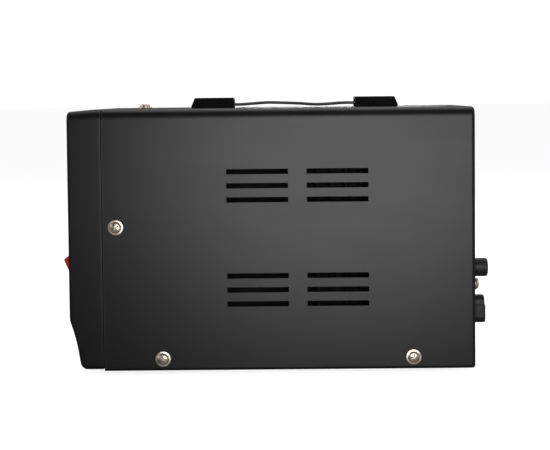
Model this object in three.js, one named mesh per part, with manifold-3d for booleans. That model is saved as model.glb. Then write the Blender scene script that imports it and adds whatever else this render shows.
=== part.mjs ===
// A compact bench power supply: a sheet-metal case with a moulded front bezel, a sliding strap handle,
// a recessed control panel and a rear panel with fan, fuse, ground screw and cable gland.
//
// Millimetres. +X is the right-hand side as seen by a person facing the front, +Y points to the rear, +Z up.
// Every piece is drawn with y = 0 on the bezel's front rim and z = 0 on the cover's bottom edge. The group
// is then moved so that the origin is at the centre of the bounding box, on the surface the feet stand on.

import * as THREE from 'three';
import { mergeVertices } from 'three/addons/utils/BufferGeometryUtils.js';
import Module from 'manifold-3d';

const wasm = await Module();
wasm.setup();

// ---------------------------------------------------------------- driving dimensions

const CASE = { width: 130, depth: 260, height: 167.5 };
const HALF = CASE.width / 2;
const SHEET = 1.2;              // steel sheet of the cover and the chassis
const TOP_BEND = 6;             // outer radius of the cover's two long top bends
const GAP = 0.3;                // running gap kept between pieces that touch
const BEZEL = { depth: 21.7, wall: 2.6, rise: 1, drop: 1.1 };
const COVER_FRONT = 22.2;       // where the cover starts, behind the seam
const VENT = { length: 39.4, height: 3.4, pitch: 9, centreY: 146.7, columnPitch: 51.2 };
const VENT_BANKS = [118.4, 51.7];               // height of the middle slot of each bank
const SIDE_SCREWS = [[30.5, 92.5], [59.8, 7.7], [220.3, 7.7]];  // y, z
const TOP_SCREW_Y = 45.3;
const SCREW = { collar: 5, dome: 3.7, height: 3, shank: 2 };
const SCREW_HOLE = SCREW.shank + GAP;
const RECESS = { long: 2.3, wide: 0.5, deep: 1.4 };     // half lengths of a cross recess and its depth
const PAD = { thick: 3.4, overlap: 8 };                 // the bezel's screw pads, and their root inside it
const FLOOR = 2;                // underside of the chassis floor
const FOOT = { x: 40, front: 48, rear: 226, radius: 6.5, below: 3 };

const PANEL = { front: 2.9, thick: 2, halfWidth: 61.8, bottom: 35.2, top: 162.8 };
const WINDOW = { halfWidth: 56, bottom: 116, top: 156 };
const KNOB = { radius: 9.5, depth: 9, z: 72, voltageX: -44, currentX: -12 };
const BUTTON_Z = 104;
const OUTPUT_X = -28;
const LAMP_X = { voltage: 16, current: 34 };
const SOCKET = { pitch: 19, x: -11, z: 19.5, lean: 13.5 };
const ROCKER = {
  x: 46.5, z: 61, pivotY: 5.15, halfWidth: 9, radius: 13.9, tip: 31.5, base: 2.1, dip: 4.79, tilt: 11.8,
};

const HANDLE = {
  y: 146, gapHalf: 40.4, cap: 28.6, slope: 2.4, height: 6.8, width: 28, roof: 1.6, wall: 1.7,
};
const STRAP = {
  width: 20, thick: 2, centre: 2.4, gripHalf: 6, hinge: 39, headWidth: 24, head: 4.6, travel: 7,
};

const REAR = { plate: 257, thick: 1.5 };
const PORT_X = 51;              // column of the mains fittings, close to the right-hand side
const FUSE = { z: 63.5, radius: 6.3, out: 9.2, barrel: 30, rim: 1.9 };
const EARTH = { x: 46, z: 52.3 };
const GLAND = { z: 36.9, halfHeight: 8.9, halfWidth: 7.5, out: 7.2, split: 39.9, bore: 4.1 };
const FAN = { x: -20, z: 116, size: 60, thick: 20, hole: 27, pitch: 25, wire: 0.8 };

// ---------------------------------------------------------------- finishes

const paint = (color, roughness, metalness = 0) => new THREE.MeshStandardMaterial({
  color, roughness, metalness,
});
const FINISH = {
  blackPaint: paint(0x1b1b1c, 0.38, 0.2),
  darkPaint: paint(0x151516, 0.5, 0.2),
  blackPlastic: paint(0x161617, 0.42),
  panelPlastic: paint(0x24262a, 0.5),
  smoked: paint(0x120c0e, 0.08),
  red: paint(0xc4141c, 0.25),
  greyRubber: paint(0x2a2a2b, 0.75),
  nickel: paint(0xcfc6b4, 0.28, 1),
  zinc: paint(0xb9bcbf, 0.4, 1),
  anodised: paint(0x202123, 0.5, 0.6),
  board: paint(0x1f5a33, 0.5),
  copper: paint(0xb5652a, 0.35, 1),
  steelCore: paint(0x55524d, 0.55, 0.8),
  blueSleeve: paint(0x1c2f5c, 0.4),
  socketRed: paint(0xb81a1a, 0.35),
  socketGreen: paint(0x2f7a36, 0.35),
  socketBlack: paint(0x121212, 0.35),
  keyGrey: paint(0x6c7076, 0.55),
  lampGreen: paint(0x3c7d4a, 0.2),
  lampRed: paint(0x8a2a26, 0.2),
  glass: paint(0xd7e4e6, 0.05),
};

// ---------------------------------------------------------------- solids

// A closed geometry as a manifold-3d solid.
function solid(geometry) {
  const bare = geometry.index ? geometry.toNonIndexed() : geometry.clone();
  bare.deleteAttribute('normal');
  bare.deleteAttribute('uv');
  const merged = mergeVertices(bare, 1e-4);
  return new wasm.Manifold(new wasm.Mesh({
    numProp: 3,
    vertProperties: new Float32Array(merged.getAttribute('position').array),
    triVerts: new Uint32Array(merged.index.array),
  }));
}

// A manifold-3d solid as a three.js geometry.
function geometryOf(body) {
  const made = body.getMesh();
  const count = made.numVert;
  const position = new Float32Array(count * 3);
  for (let i = 0; i < count; i += 1) {
    for (let k = 0; k < 3; k += 1) position[3 * i + k] = made.vertProperties[made.numProp * i + k];
  }
  const geometry = new THREE.BufferGeometry();
  geometry.setAttribute('position', new THREE.BufferAttribute(position, 3));
  geometry.setIndex(new THREE.BufferAttribute(made.triVerts, 1));
  return geometry;
}

// A box between two corners.
const block = (x0, x1, y0, y1, z0, z1) => solid(new THREE.BoxGeometry(x1 - x0, y1 - y0, z1 - z0)
  .translate((x0 + x1) / 2, (y0 + y1) / 2, (z0 + z1) / 2));

// A rod along +Y, from y0 to y1.
const rodY = (radius, x, z, y0, y1, sides = 20) => solid(
  new THREE.CylinderGeometry(radius, radius, y1 - y0, sides).translate(x, (y0 + y1) / 2, z));

// A rod along +X, from x0 to x1.
const rodX = (radius, y, z, x0, x1, sides = 20) => solid(
  new THREE.CylinderGeometry(radius, radius, x1 - x0, sides).rotateZ(-Math.PI / 2)
    .translate((x0 + x1) / 2, y, z));

// A rod along +Z, from z0 to z1.
const rodZ = (radius, x, y, z0, z1, sides = 20) => solid(
  new THREE.CylinderGeometry(radius, radius, z1 - z0, sides).rotateX(Math.PI / 2)
    .translate(x, y, (z0 + z1) / 2));

// An outline in the X-Z plane, given as a Shape in (x, z), extruded along +Y from y0 to y1.
const prismY = (shape, y0, y1, curveSegments = 5) => solid(new THREE.ExtrudeGeometry(shape,
  { depth: y1 - y0, bevelEnabled: false, curveSegments }).rotateX(Math.PI / 2).translate(0, y1, 0));

// An outline in the Y-Z plane, given as [y, z] points, extruded along +X from x0 to x1.
function prismX(points, x0, x1) {
  const shape = new THREE.Shape(points.map(([y, z]) => new THREE.Vector2(y, z)));
  const geometry = new THREE.ExtrudeGeometry(shape, { depth: x1 - x0, bevelEnabled: false });
  geometry.applyMatrix4(new THREE.Matrix4().set(0, 0, 1, x0, 1, 0, 0, 0, 0, 1, 0, 0, 0, 0, 0, 1));
  return solid(geometry);
}

// A profile of [radius, distance] points turned about an axis that starts at `at` and points along `along`.
function turned(profile, at, along, sides = 20) {
  const points = profile.map(([radius, distance]) => new THREE.Vector2(radius, distance));
  const geometry = new THREE.LatheGeometry(points, sides);
  const turn = new THREE.Quaternion().setFromUnitVectors(new THREE.Vector3(0, 1, 0), along);
  geometry.applyQuaternion(turn);
  geometry.translate(...at);
  return solid(geometry);
}

const joined = (first, ...others) => others.reduce((sum, other) => sum.add(other), first);
const cut = (first, ...others) => others.reduce((rest, other) => rest.subtract(other), first);

const FORWARD = new THREE.Vector3(0, -1, 0);
const REARWARD = new THREE.Vector3(0, 1, 0);
const UP = new THREE.Vector3(0, 0, 1);
const RIGHT = new THREE.Vector3(1, 0, 0);
const LEFT = new THREE.Vector3(-1, 0, 0);

const powerSupply = new THREE.Group();

function piece(name, body, material) {
  const mesh = new THREE.Mesh(geometryOf(body), material);
  mesh.name = name;
  powerSupply.add(mesh);
}

// A rectangle with its own radius at the top and bottom corners, as a Shape in (x, z).
function roundedOutline(halfWidth, bottom, top, topRadius, bottomRadius) {
  const shape = new THREE.Shape();
  const quarter = Math.PI / 2;
  const upperX = halfWidth - topRadius;
  const lowerX = halfWidth - bottomRadius;
  shape.moveTo(-lowerX, bottom);
  shape.lineTo(lowerX, bottom);
  shape.absarc(lowerX, bottom + bottomRadius, bottomRadius, -quarter, 0, false);
  shape.lineTo(halfWidth, top - topRadius);
  shape.absarc(upperX, top - topRadius, topRadius, 0, quarter, false);
  shape.lineTo(-upperX, top);
  shape.absarc(-upperX, top - topRadius, topRadius, quarter, 2 * quarter, false);
  shape.lineTo(-halfWidth, bottom + bottomRadius);
  shape.absarc(-lowerX, bottom + bottomRadius, bottomRadius, 2 * quarter, 3 * quarter, false);
  return shape;
}

// ---------------------------------------------------------------- cover

const ventCentres = [];
for (const bank of VENT_BANKS) {
  for (const row of [-1, 0, 1]) {
    for (const column of [-0.5, 0.5]) {
      ventCentres.push([VENT.centreY + column * VENT.columnPitch, bank + row * VENT.pitch]);
    }
  }
}

function cover() {
  const wall = SHEET;
  const outside = prismY(roundedOutline(HALF, 0, CASE.height, TOP_BEND, 1.4), COVER_FRONT, CASE.depth);
  const inside = prismY(roundedOutline(HALF - wall, wall, CASE.height - wall, TOP_BEND - wall, 0.2),
    COVER_FRONT - 1, CASE.depth - wall);
  const flange = 6.2;           // width of the folds along the bottom and around the rear
  let shell = cut(outside, inside,
    block(-HALF + flange, HALF - flange, COVER_FRONT - 1, CASE.depth + 1, -1, wall + 1),
    block(-HALF + flange, HALF - flange, CASE.depth - 3, CASE.depth + 1, -1, CASE.height - flange));
  for (const [y, z] of ventCentres) {
    shell = cut(shell, block(-HALF - 1, HALF + 1, y - VENT.length / 2, y + VENT.length / 2,
      z - VENT.height / 2, z + VENT.height / 2));
  }
  for (const [y, z] of SIDE_SCREWS) shell = cut(shell, rodX(SCREW_HOLE, y, z, -HALF - 1, HALF + 1, 12));
  return cut(shell, rodZ(SCREW_HOLE, 0, TOP_SCREW_Y, CASE.height - 5, CASE.height + 1, 12));
}
piece('top_cover', cover(), FINISH.blackPaint);

// ---------------------------------------------------------------- chassis and rear panel

function chassis() {
  const inner = HALF - SHEET - GAP;
  const top = FLOOR + SHEET;
  const start = COVER_FRONT + 1.5;
  const end = REAR.plate - GAP;
  let pan = joined(block(-inner, inner, start, end, FLOOR, top),
    block(-inner, -inner + SHEET, start, end, FLOOR, 18),
    block(inner - SHEET, inner, start, end, FLOOR, 18),
    block(-inner, inner, end - SHEET, end, FLOOR, 16));
  for (const [y, z] of SIDE_SCREWS.slice(1)) pan = cut(pan, rodX(SCREW_HOLE, y, z, -HALF, HALF, 12));
  for (let i = 0; i < 6; i += 1) {
    pan = cut(pan, block(-22, 22, 112 + i * VENT.pitch, 112 + i * VENT.pitch + VENT.height, 0, 5));
  }
  for (const side of [-1, 1]) {
    for (const y of [FOOT.front, FOOT.rear]) pan = cut(pan, rodZ(2, side * FOOT.x, y, 0, 5, 10));
  }
  return pan;
}
piece('chassis_tray', chassis(), FINISH.zinc);

// The fan's four screw centres.
const fanCorners = [[-1, -1], [1, -1], [1, 1], [-1, 1]].map(([sx, sz]) => [
  FAN.x + sx * FAN.pitch, FAN.z + sz * FAN.pitch]);

function rearPanel() {
  const wide = HALF - SHEET - 2 * GAP;
  const top = CASE.height - SHEET - 2 * GAP;
  let plate = block(-wide, wide, REAR.plate, REAR.plate + REAR.thick, FLOOR + 1, top);
  const outline = roundedOutline(wide, 0, top, TOP_BEND, 0.2);
  plate = plate.intersect(prismY(outline, REAR.plate - 1, REAR.plate + 3));
  plate = cut(plate, rodY(FAN.hole, FAN.x, FAN.z, 250, 262, 28),
    rodY(5.4, PORT_X, FUSE.z, 250, 262, 16), rodY(2.3, EARTH.x, EARTH.z, 250, 262, 10),
    block(PORT_X - 6.3, PORT_X + 6.3, 250, 262, GLAND.z - 7.6, GLAND.z + 7.6));
  for (const [x, z] of fanCorners) plate = cut(plate, rodY(2, x, z, 250, 262, 8));
  return plate;
}
piece('rear_panel', rearPanel(), FINISH.darkPaint);

function foot(x, y) {
  const { radius, below } = FOOT;
  const tall = below + FLOOR - GAP;
  const profile = [[0, 0], [radius - 1, 0], [radius, 1], [radius - 0.6, tall], [0, tall]];
  return turned(profile, [x, y, -below], UP, 16);
}
piece('foot_front_left', foot(-FOOT.x, FOOT.front), FINISH.greyRubber);
piece('foot_front_right', foot(FOOT.x, FOOT.front), FINISH.greyRubber);
piece('foot_rear_left', foot(-FOOT.x, FOOT.rear), FINISH.greyRubber);
piece('foot_rear_right', foot(FOOT.x, FOOT.rear), FINISH.greyRubber);

// ---------------------------------------------------------------- bezel and control panel

// The side outline of the bezel, shrunk by `inset`: an upright front, a lower part that falls back in two
// steps, a rounded toe, and a top that falls a little towards the front.
function bezelOutline(inset, rear) {
  const bottom = BEZEL.rise + inset;
  const top = CASE.height - inset;
  return [
    [rear, bottom], [11 + inset, bottom], [8.8 + inset, bottom + 0.5], [7.3 + inset, bottom + 2.4],
    [6.2 + inset, bottom + 6.6], [3.7 + inset, 21], [inset, 33], [inset, top - BEZEL.drop - 1.2],
    [inset + 1.2, top - BEZEL.drop], [rear, top - BEZEL.drop * (1 - rear / BEZEL.depth)],
  ];
}

const lean = THREE.MathUtils.degToRad(SOCKET.lean);
const socketAxis = new THREE.Vector3(0, -Math.cos(lean), -Math.sin(lean));
const socketX = [-1, 0, 1].map((step) => SOCKET.x + step * SOCKET.pitch);
const socketFace = new THREE.Vector3(0, 4, SOCKET.z);   // on the sloping face of the bezel

// A point on a socket's axis, `out` mm in front of the sloping face.
const onSocketAxis = (x, out) => [x, socketFace.y + socketAxis.y * out, socketFace.z + socketAxis.z * out];

function bezel() {
  const wall = BEZEL.wall;
  const hood = prismX(bezelOutline(0, BEZEL.depth), -HALF, HALF)
    .intersect(prismY(roundedOutline(HALF, BEZEL.rise, CASE.height, TOP_BEND, 3), -1, BEZEL.depth + 1));
  const inner = roundedOutline(HALF - wall, BEZEL.rise + wall, CASE.height - wall, TOP_BEND - wall, 1);
  const hollow = prismX(bezelOutline(wall, BEZEL.depth + 2), -HALF + wall, HALF - wall)
    .intersect(prismY(inner, -1, BEZEL.depth + 8));
  let shell = cut(hood, hollow, block(-60, 60, -2, 8, 37, 161));
  // Pads inside the cover that take the side and top screws.
  const reach = HALF - SHEET - GAP;
  for (const side of [-1, 1]) {
    const x0 = side > 0 ? reach - PAD.thick : -reach;
    shell = shell.add(block(x0, x0 + PAD.thick, BEZEL.depth - PAD.overlap, 38, 84, 101));
  }
  const ceiling = CASE.height - SHEET - GAP;
  shell = shell.add(block(-9, 9, BEZEL.depth - PAD.overlap, 52, ceiling - PAD.thick, ceiling));
  shell = cut(shell, rodX(SCREW_HOLE, SIDE_SCREWS[0][0], SIDE_SCREWS[0][1], -HALF, HALF, 12),
    rodZ(SCREW_HOLE, 0, TOP_SCREW_Y, ceiling - 6, ceiling + 1, 12));
  const seat = [[0, 0], [5.6, 0], [5.6, 8], [7.3, 8], [7.3, 14], [0, 14]];
  for (const x of socketX) shell = cut(shell, turned(seat, onSocketAxis(x, -8), socketAxis, 16));
  return shell;
}
piece('front_bezel', bezel(), FINISH.blackPlastic);

function frontPanel() {
  const back = PANEL.front + PANEL.thick;
  let plate = block(-PANEL.halfWidth, PANEL.halfWidth, PANEL.front, back, PANEL.bottom, PANEL.top);
  const hole = (x, z, halfWidth, halfHeight) => block(x - halfWidth, x + halfWidth, 0, 8,
    z - halfHeight, z + halfHeight);
  const { halfWidth: windowHalf, bottom, top } = WINDOW;
  plate = cut(plate, hole(0, (bottom + top) / 2, windowHalf, (top - bottom) / 2),
    hole(ROCKER.x, ROCKER.z, 10.5, 15.3), hole(OUTPUT_X, BUTTON_Z, 6.3, 4.3),
    rodY(4, KNOB.voltageX, KNOB.z, 0, 8, 16), rodY(4, KNOB.currentX, KNOB.z, 0, 8, 16));
  for (const x of Object.values(LAMP_X)) plate = cut(plate, rodY(1.9, x, BUTTON_Z, 0, 8, 12));
  return plate;
}
piece('front_panel', frontPanel(), FINISH.panelPlastic);

piece('display_window', block(-WINDOW.halfWidth + GAP, WINDOW.halfWidth - GAP, PANEL.front + 0.2,
  PANEL.front + PANEL.thick, WINDOW.bottom + GAP, WINDOW.top - GAP), FINISH.smoked);

// The display board stands behind the panel. It carries the digit blocks and the output button's key switch.
const BOARD_Y = 13.5;
function displayBoard() {
  const board = block(-58, 58, BOARD_Y, BOARD_Y + 1.6, 96, 158);
  return board.add(block(OUTPUT_X - 3, OUTPUT_X + 3, 10.2, BOARD_Y + 0.1, BUTTON_Z - 3, BUTTON_Z + 3));
}
piece('display_board', displayBoard(), FINISH.board);

const digitBlock = (x) => block(x - 25.2, x + 25.2, 5.2, BOARD_Y - GAP, 126.5, 145.5);
piece('voltage_display', digitBlock(-28), FINISH.smoked);
piece('current_display', digitBlock(28), FINISH.smoked);

// The key cap: a face that stands 2 mm out of the panel, and a wider foot behind it that keeps it in.
const keyCap = (x, halfWidth, halfHeight) => joined(
  block(x - halfWidth, x + halfWidth, PANEL.front - 2, 9, BUTTON_Z - halfHeight, BUTTON_Z + halfHeight),
  block(x - halfWidth - 1, x + halfWidth + 1, 5.6, 7, BUTTON_Z - halfHeight - 1, BUTTON_Z + halfHeight + 1));
piece('output_button', keyCap(OUTPUT_X, 6, 4), FINISH.keyGrey);

const lamp = (x) => turned([[0, 0], [2.3, 0], [2.3, 1], [1.6, 1], [1.6, 7.4], [1.1, 8.3], [0, 8.6]],
  [x, BOARD_Y - GAP - 2, BUTTON_Z], FORWARD, 12);
piece('voltage_lamp', lamp(LAMP_X.voltage), FINISH.lampGreen);
piece('current_lamp', lamp(LAMP_X.current), FINISH.lampRed);

// A fluted knob, hollow behind, with a bore for its shaft.
function knob(x) {
  const flutes = 12;
  const shape = new THREE.Shape();
  for (let i = 0; i < flutes; i += 1) {
    for (const [part, radius] of [[0, KNOB.radius], [0.55, KNOB.radius], [0.78, KNOB.radius - 0.7]]) {
      const angle = ((i + part) / flutes) * 2 * Math.PI;
      const point = [x + radius * Math.cos(angle), KNOB.z + radius * Math.sin(angle)];
      if (i + part === 0) shape.moveTo(...point);
      else shape.lineTo(...point);
    }
  }
  const rear = PANEL.front - 1;
  const front = rear - KNOB.depth;
  const tapered = turned([[0, 0], [KNOB.radius + 0.1, 0], [KNOB.radius + 0.1, KNOB.depth - 1.4],
    [KNOB.radius - 1.6, KNOB.depth], [0, KNOB.depth]], [x, rear, KNOB.z], FORWARD, 24);
  const body = prismY(shape, front, rear).intersect(tapered);
  const pointer = block(x - 0.5, x + 0.5, front - 0.5, front + 0.6, KNOB.z + 2.5, KNOB.z + 7.4);
  const hollow = rodY(6.8, x, KNOB.z, rear - 3, rear + 1, 16);
  const bore = rodY(3.3, x, KNOB.z, front + 2, rear + 1, 12);
  return cut(body, pointer, hollow, bore);
}

// A potentiometer: its can behind the panel, its threaded bush through it and its nut in front.
function control(x) {
  const can = rodY(8, x, KNOB.z, PANEL.front + PANEL.thick + GAP, 13.5, 16);
  const bush = rodY(3.7, x, KNOB.z, -0.4, 6, 12);
  const nut = rodY(5.6, x, KNOB.z, 0.5, PANEL.front - GAP, 6);
  return cut(joined(can, bush, nut), rodY(3.3, x, KNOB.z, -2, 10, 12));
}
const shaft = (x) => rodY(2.9, x, KNOB.z, PANEL.front + 1.5 - KNOB.depth, 9.5, 12);
for (const [label, x] of [['voltage', KNOB.voltageX], ['current', KNOB.currentX]]) {
  piece(`${label}_knob`, knob(x), FINISH.blackPlastic);
  piece(`${label}_shaft`, shaft(x), FINISH.zinc);
  piece(`${label}_control`, control(x), FINISH.zinc);
}

// A shrouded 4 mm socket, square to the sloping lower face and open at its front.
function socket(x) {
  const profile = [[0, -14], [5.2, -14], [5.2, GAP], [6.9, GAP], [6.9, 2.6], [4.9, 3], [2.05, 3],
    [2.05, -11], [0, -11]];
  return turned(profile, onSocketAxis(x, 0), socketAxis, 16);
}
['positive', 'ground', 'negative'].forEach((pole, i) => {
  const colours = [FINISH.socketRed, FINISH.socketGreen, FINISH.socketBlack];
  piece(`output_socket_${pole}`, socket(socketX[i]), colours[i]);
});

// ---------------------------------------------------------------- power switch

function switchHousing() {
  const { x, z } = ROCKER;
  const rim = block(x - 12.5, x + 12.5, 0.3, PANEL.front - GAP, z - 16.5, z + 16.5);
  const body = block(x - 10.3, x + 10.3, 1, 22, z - 15.1, z + 15.1);
  const well = block(x - 9.3, x + 9.3, -1, 12, z - 14.2, z + 14.2);
  return cut(joined(rim, body), well);
}
piece('power_switch_housing', switchHousing(), FINISH.blackPlastic);

// The rocker's outline: two faces that meet in a shallow V, and ends that are arcs about the pivot.
function rocker() {
  const side = (sign) => {
    const ends = [];
    for (let i = 0; i <= 5; i += 1) {
      const angle = THREE.MathUtils.degToRad(ROCKER.base + ((ROCKER.tip - ROCKER.base) * i) / 5);
      ends.push([-ROCKER.radius * Math.sin(angle), sign * ROCKER.radius * Math.cos(angle)]);
    }
    return ends;
  };
  const tilt = THREE.MathUtils.degToRad(ROCKER.tilt);
  const outline = [...side(1), [-ROCKER.dip, 0], ...side(-1).reverse()].map(([y, z]) => [
    ROCKER.pivotY + y * Math.cos(tilt) - z * Math.sin(tilt),
    ROCKER.z + y * Math.sin(tilt) + z * Math.cos(tilt),
  ]);
  return prismX(outline, ROCKER.x - ROCKER.halfWidth, ROCKER.x + ROCKER.halfWidth);
}
piece('power_rocker', rocker(), FINISH.red);

// ---------------------------------------------------------------- strap handle

// One end cap: a block with a sloping outer end and a slot that the strap's head slides in.
// `way` is -1 for the front cap and 1 for the rear one.
function handleCap(way) {
  const { y, gapHalf, cap, slope, height, width, roof, wall } = HANDLE;
  const deck = CASE.height + GAP;
  const at = (distance) => y + way * distance;
  const outline = [[at(gapHalf), deck], [at(gapHalf + cap), deck],
    [at(gapHalf + cap - slope), deck + height - GAP], [at(gapHalf), deck + height - GAP]];
  if (way < 0) outline.reverse();
  const along = (from, to) => [Math.min(at(from), at(to)), Math.max(at(from), at(to))];
  const [y0, y1] = along(gapHalf + 2, gapHalf + 20);
  const [m0, m1] = along(gapHalf - 1, gapHalf + 3);
  const ceiling = deck + height - GAP - roof;
  return cut(prismX(outline, -width / 2, width / 2),
    block(-width / 2 + wall, width / 2 - wall, y0, y1, deck - 1, ceiling),
    block(-STRAP.width / 2 - 0.4, STRAP.width / 2 + 0.4, m0, m1, deck - 1, ceiling));
}
piece('handle_cap_front', handleCap(-1), FINISH.blackPlastic);
piece('handle_cap_rear', handleCap(1), FINISH.blackPlastic);

// A flat length of strap with half-round ends, between two distances from the handle's middle.
function strapLength(from, to) {
  const radius = STRAP.thick / 2;
  const z = CASE.height + STRAP.centre;
  const outline = [];
  for (let i = 0; i <= 4; i += 1) {
    const angle = -Math.PI / 2 + (i * Math.PI) / 4;
    outline.push([to - radius + radius * Math.cos(angle), z + radius * Math.sin(angle)]);
  }
  for (let i = 0; i <= 4; i += 1) {
    const angle = Math.PI / 2 + (i * Math.PI) / 4;
    outline.push([from + radius + radius * Math.cos(angle), z + radius * Math.sin(angle)]);
  }
  return prismX(outline, -STRAP.width / 2, STRAP.width / 2);
}

const KNUCKLE = 0.15;           // half the gap between two lengths of strap
const { y: middle } = HANDLE;
const gripEnd = STRAP.gripHalf - KNUCKLE;
const linkStart = STRAP.gripHalf + KNUCKLE;
const linkEnd = STRAP.hinge - KNUCKLE;
piece('strap_grip', strapLength(middle - gripEnd, middle + gripEnd), FINISH.greyRubber);
piece('strap_link_front', strapLength(middle - linkEnd, middle - linkStart), FINISH.greyRubber);
piece('strap_link_rear', strapLength(middle + linkStart, middle + linkEnd), FINISH.greyRubber);

// The strap's end: a short length and the wider head that the cap holds.
function strapEnd(way) {
  const headStart = HANDLE.gapHalf + 2 + STRAP.travel;
  const between = (from, to) => [middle + way * from, middle + way * to].sort((a, b) => a - b);
  const span = between(STRAP.hinge + KNUCKLE, headStart + 1);
  const head = between(headStart, headStart + STRAP.head);
  const z = CASE.height + STRAP.centre;
  return strapLength(...span).add(block(-STRAP.headWidth / 2, STRAP.headWidth / 2, ...head,
    z - STRAP.thick / 2, z + STRAP.thick / 2));
}
piece('strap_end_front', strapEnd(-1), FINISH.greyRubber);
piece('strap_end_rear', strapEnd(1), FINISH.greyRubber);

// ---------------------------------------------------------------- cover screws

// The cross recess: two crossed slots sunk into a screw's head at `tip`.
function crossRecess(tip, along) {
  const own = Math.abs(along.z) > 0.5 ? 'z' : 'x';
  return ['x', 'y', 'z'].filter((axis) => axis !== own).map((axis) => {
    const half = new THREE.Vector3(RECESS.wide, RECESS.wide, RECESS.wide);
    half[own] = RECESS.deep;
    half[axis] = RECESS.long;
    const low = tip.clone().sub(half);
    const high = tip.clone().add(half);
    return block(low.x, high.x, low.y, high.y, low.z, high.z);
  });
}

// A cross-recessed pan-head screw with a collar. `at` is the point under its head.
function panScrew(at, along) {
  const { collar, dome, height, shank } = SCREW;
  const profile = [[0, -6], [shank, -6], [shank, GAP], [collar, GAP], [collar, 0.9], [dome, 1.1],
    [dome * 0.8, 2.4], [0, height]];
  const head = turned(profile, at, along, 12);
  const tip = new THREE.Vector3(...at).addScaledVector(along, height);
  return cut(head, ...crossRecess(tip, along));
}
for (const [side, x, along] of [['left', -HALF, LEFT], ['right', HALF, RIGHT]]) {
  SIDE_SCREWS.forEach(([y, z], i) => {
    const place = ['front', 'lower_front', 'lower_rear'][i];
    piece(`cover_screw_${side}_${place}`, panScrew([x, y, z], along), FINISH.nickel);
  });
}
piece('cover_screw_top', panScrew([0, TOP_SCREW_Y, CASE.height], UP), FINISH.nickel);

// ---------------------------------------------------------------- rear fittings

const panelFace = REAR.plate + REAR.thick;      // outer face of the rear panel

// The fuse holder's barrel goes through the panel, with a hexagonal nut behind it; its cap turns and draws
// the fuse out.
function fuseHolder() {
  const { barrel: depth, rim, radius } = FUSE;
  const start = panelFace - depth;
  const profile = [[0, 0], [5.1, 0], [5.1, depth + GAP], [radius, depth + GAP], [radius, depth + rim],
    [3.6, depth + rim], [3.6, 2], [0, 2]];
  const barrel = turned(profile, [PORT_X, start, FUSE.z], REARWARD, 16);
  const nutHole = rodY(5, PORT_X, FUSE.z, 220, 262, 16);
  return barrel.add(cut(rodY(8.4, PORT_X, FUSE.z, start + 24, REAR.plate - GAP, 6), nutHole));
}
piece('fuse_holder', fuseHolder(), FINISH.blackPlastic);

function fuseCap() {
  const inner = panelFace + FUSE.rim + GAP;
  const outer = CASE.depth + FUSE.out;
  const deep = outer - inner;
  const radius = FUSE.radius - 0.1;
  const cap = turned([[0, 0], [radius, 0], [radius, deep - 1.1], [radius - 1, deep], [0, deep]],
    [PORT_X, inner, FUSE.z], REARWARD, 20);
  return cut(cap, block(PORT_X - 4.4, PORT_X + 4.4, outer - 1.4, outer + 1, FUSE.z - 0.6, FUSE.z + 0.6),
    rodY(2.9, PORT_X, FUSE.z, inner - 1, inner + 3, 16));
}
piece('fuse_cap', fuseCap(), FINISH.blackPlastic);

piece('fuse', rodY(2.6, PORT_X, FUSE.z, panelFace - 16, panelFace + 4, 16), FINISH.glass);

function earthScrew() {
  const profile = [[0, -9], [2, -9], [2, GAP], [4.6, GAP], [4.6, 1.1], [4, 1.2], [4, 3.9], [3.2, 5.1],
    [0, 5.8]];
  return cut(turned(profile, [EARTH.x, panelFace, EARTH.z], REARWARD, 14),
    block(EARTH.x - 0.5, EARTH.x + 0.5, panelFace + 4.4, panelFace + 7, EARTH.z - 2.3, EARTH.z + 2.3),
    block(EARTH.x - 2.3, EARTH.x + 2.3, panelFace + 4.4, panelFace + 7, EARTH.z - 0.5, EARTH.z + 0.5));
}
piece('earth_screw', earthScrew(), FINISH.nickel);

// A two-part strain-relief bushing: a body with a wedge in its top, and the cord's bore through both.
function glandPart(low, high, out) {
  const { z, halfHeight, halfWidth, bore } = GLAND;
  const back = panelFace + GAP;
  const outline = roundedOutline(halfWidth, -halfHeight, halfHeight, 4.5, 4.5);
  const head = prismY(outline, back, CASE.depth + out, 4).translate([PORT_X, 0, z]);
  const neck = block(PORT_X - 6, PORT_X + 6, REAR.plate - 8, back + 1, z - 7.3, z + 7.3);
  return cut(joined(head, neck).intersect(block(0, HALF, 240, 280, low, high)),
    rodY(bore, PORT_X, z, 240, 280, 16));
}
piece('gland_body', glandPart(0, GLAND.split - GAP / 2, GLAND.out), FINISH.blackPlastic);
piece('gland_wedge', glandPart(GLAND.split + GAP / 2, 80, GLAND.out - 0.6), FINISH.blackPlastic);

// ---------------------------------------------------------------- fan

const fanFront = REAR.plate - GAP - FAN.thick;
function fanFrame() {
  const half = FAN.size / 2;
  const fanRear = fanFront + FAN.thick;
  let frame = cut(block(FAN.x - half, FAN.x + half, fanFront, fanRear, FAN.z - half, FAN.z + half),
    rodY(28.6, FAN.x, FAN.z, fanFront - 1, fanRear + 1, 28));
  for (const turn of [45, 135, 225, 315]) {
    frame = frame.add(block(-1.5, 1.5, fanFront, fanFront + 2.5, 8, 29.5).rotate([0, turn, 0])
      .translate([FAN.x, 0, FAN.z]));
  }
  frame = frame.add(rodY(12, FAN.x, FAN.z, fanFront, fanFront + 2.5, 16));
  for (const [x, z] of fanCorners) {
    frame = cut(frame, rodY(1.9, x, z, fanFront - 1, fanRear + 1, 8));
  }
  return frame;
}
piece('fan_frame', fanFrame(), FINISH.darkPaint);

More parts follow.
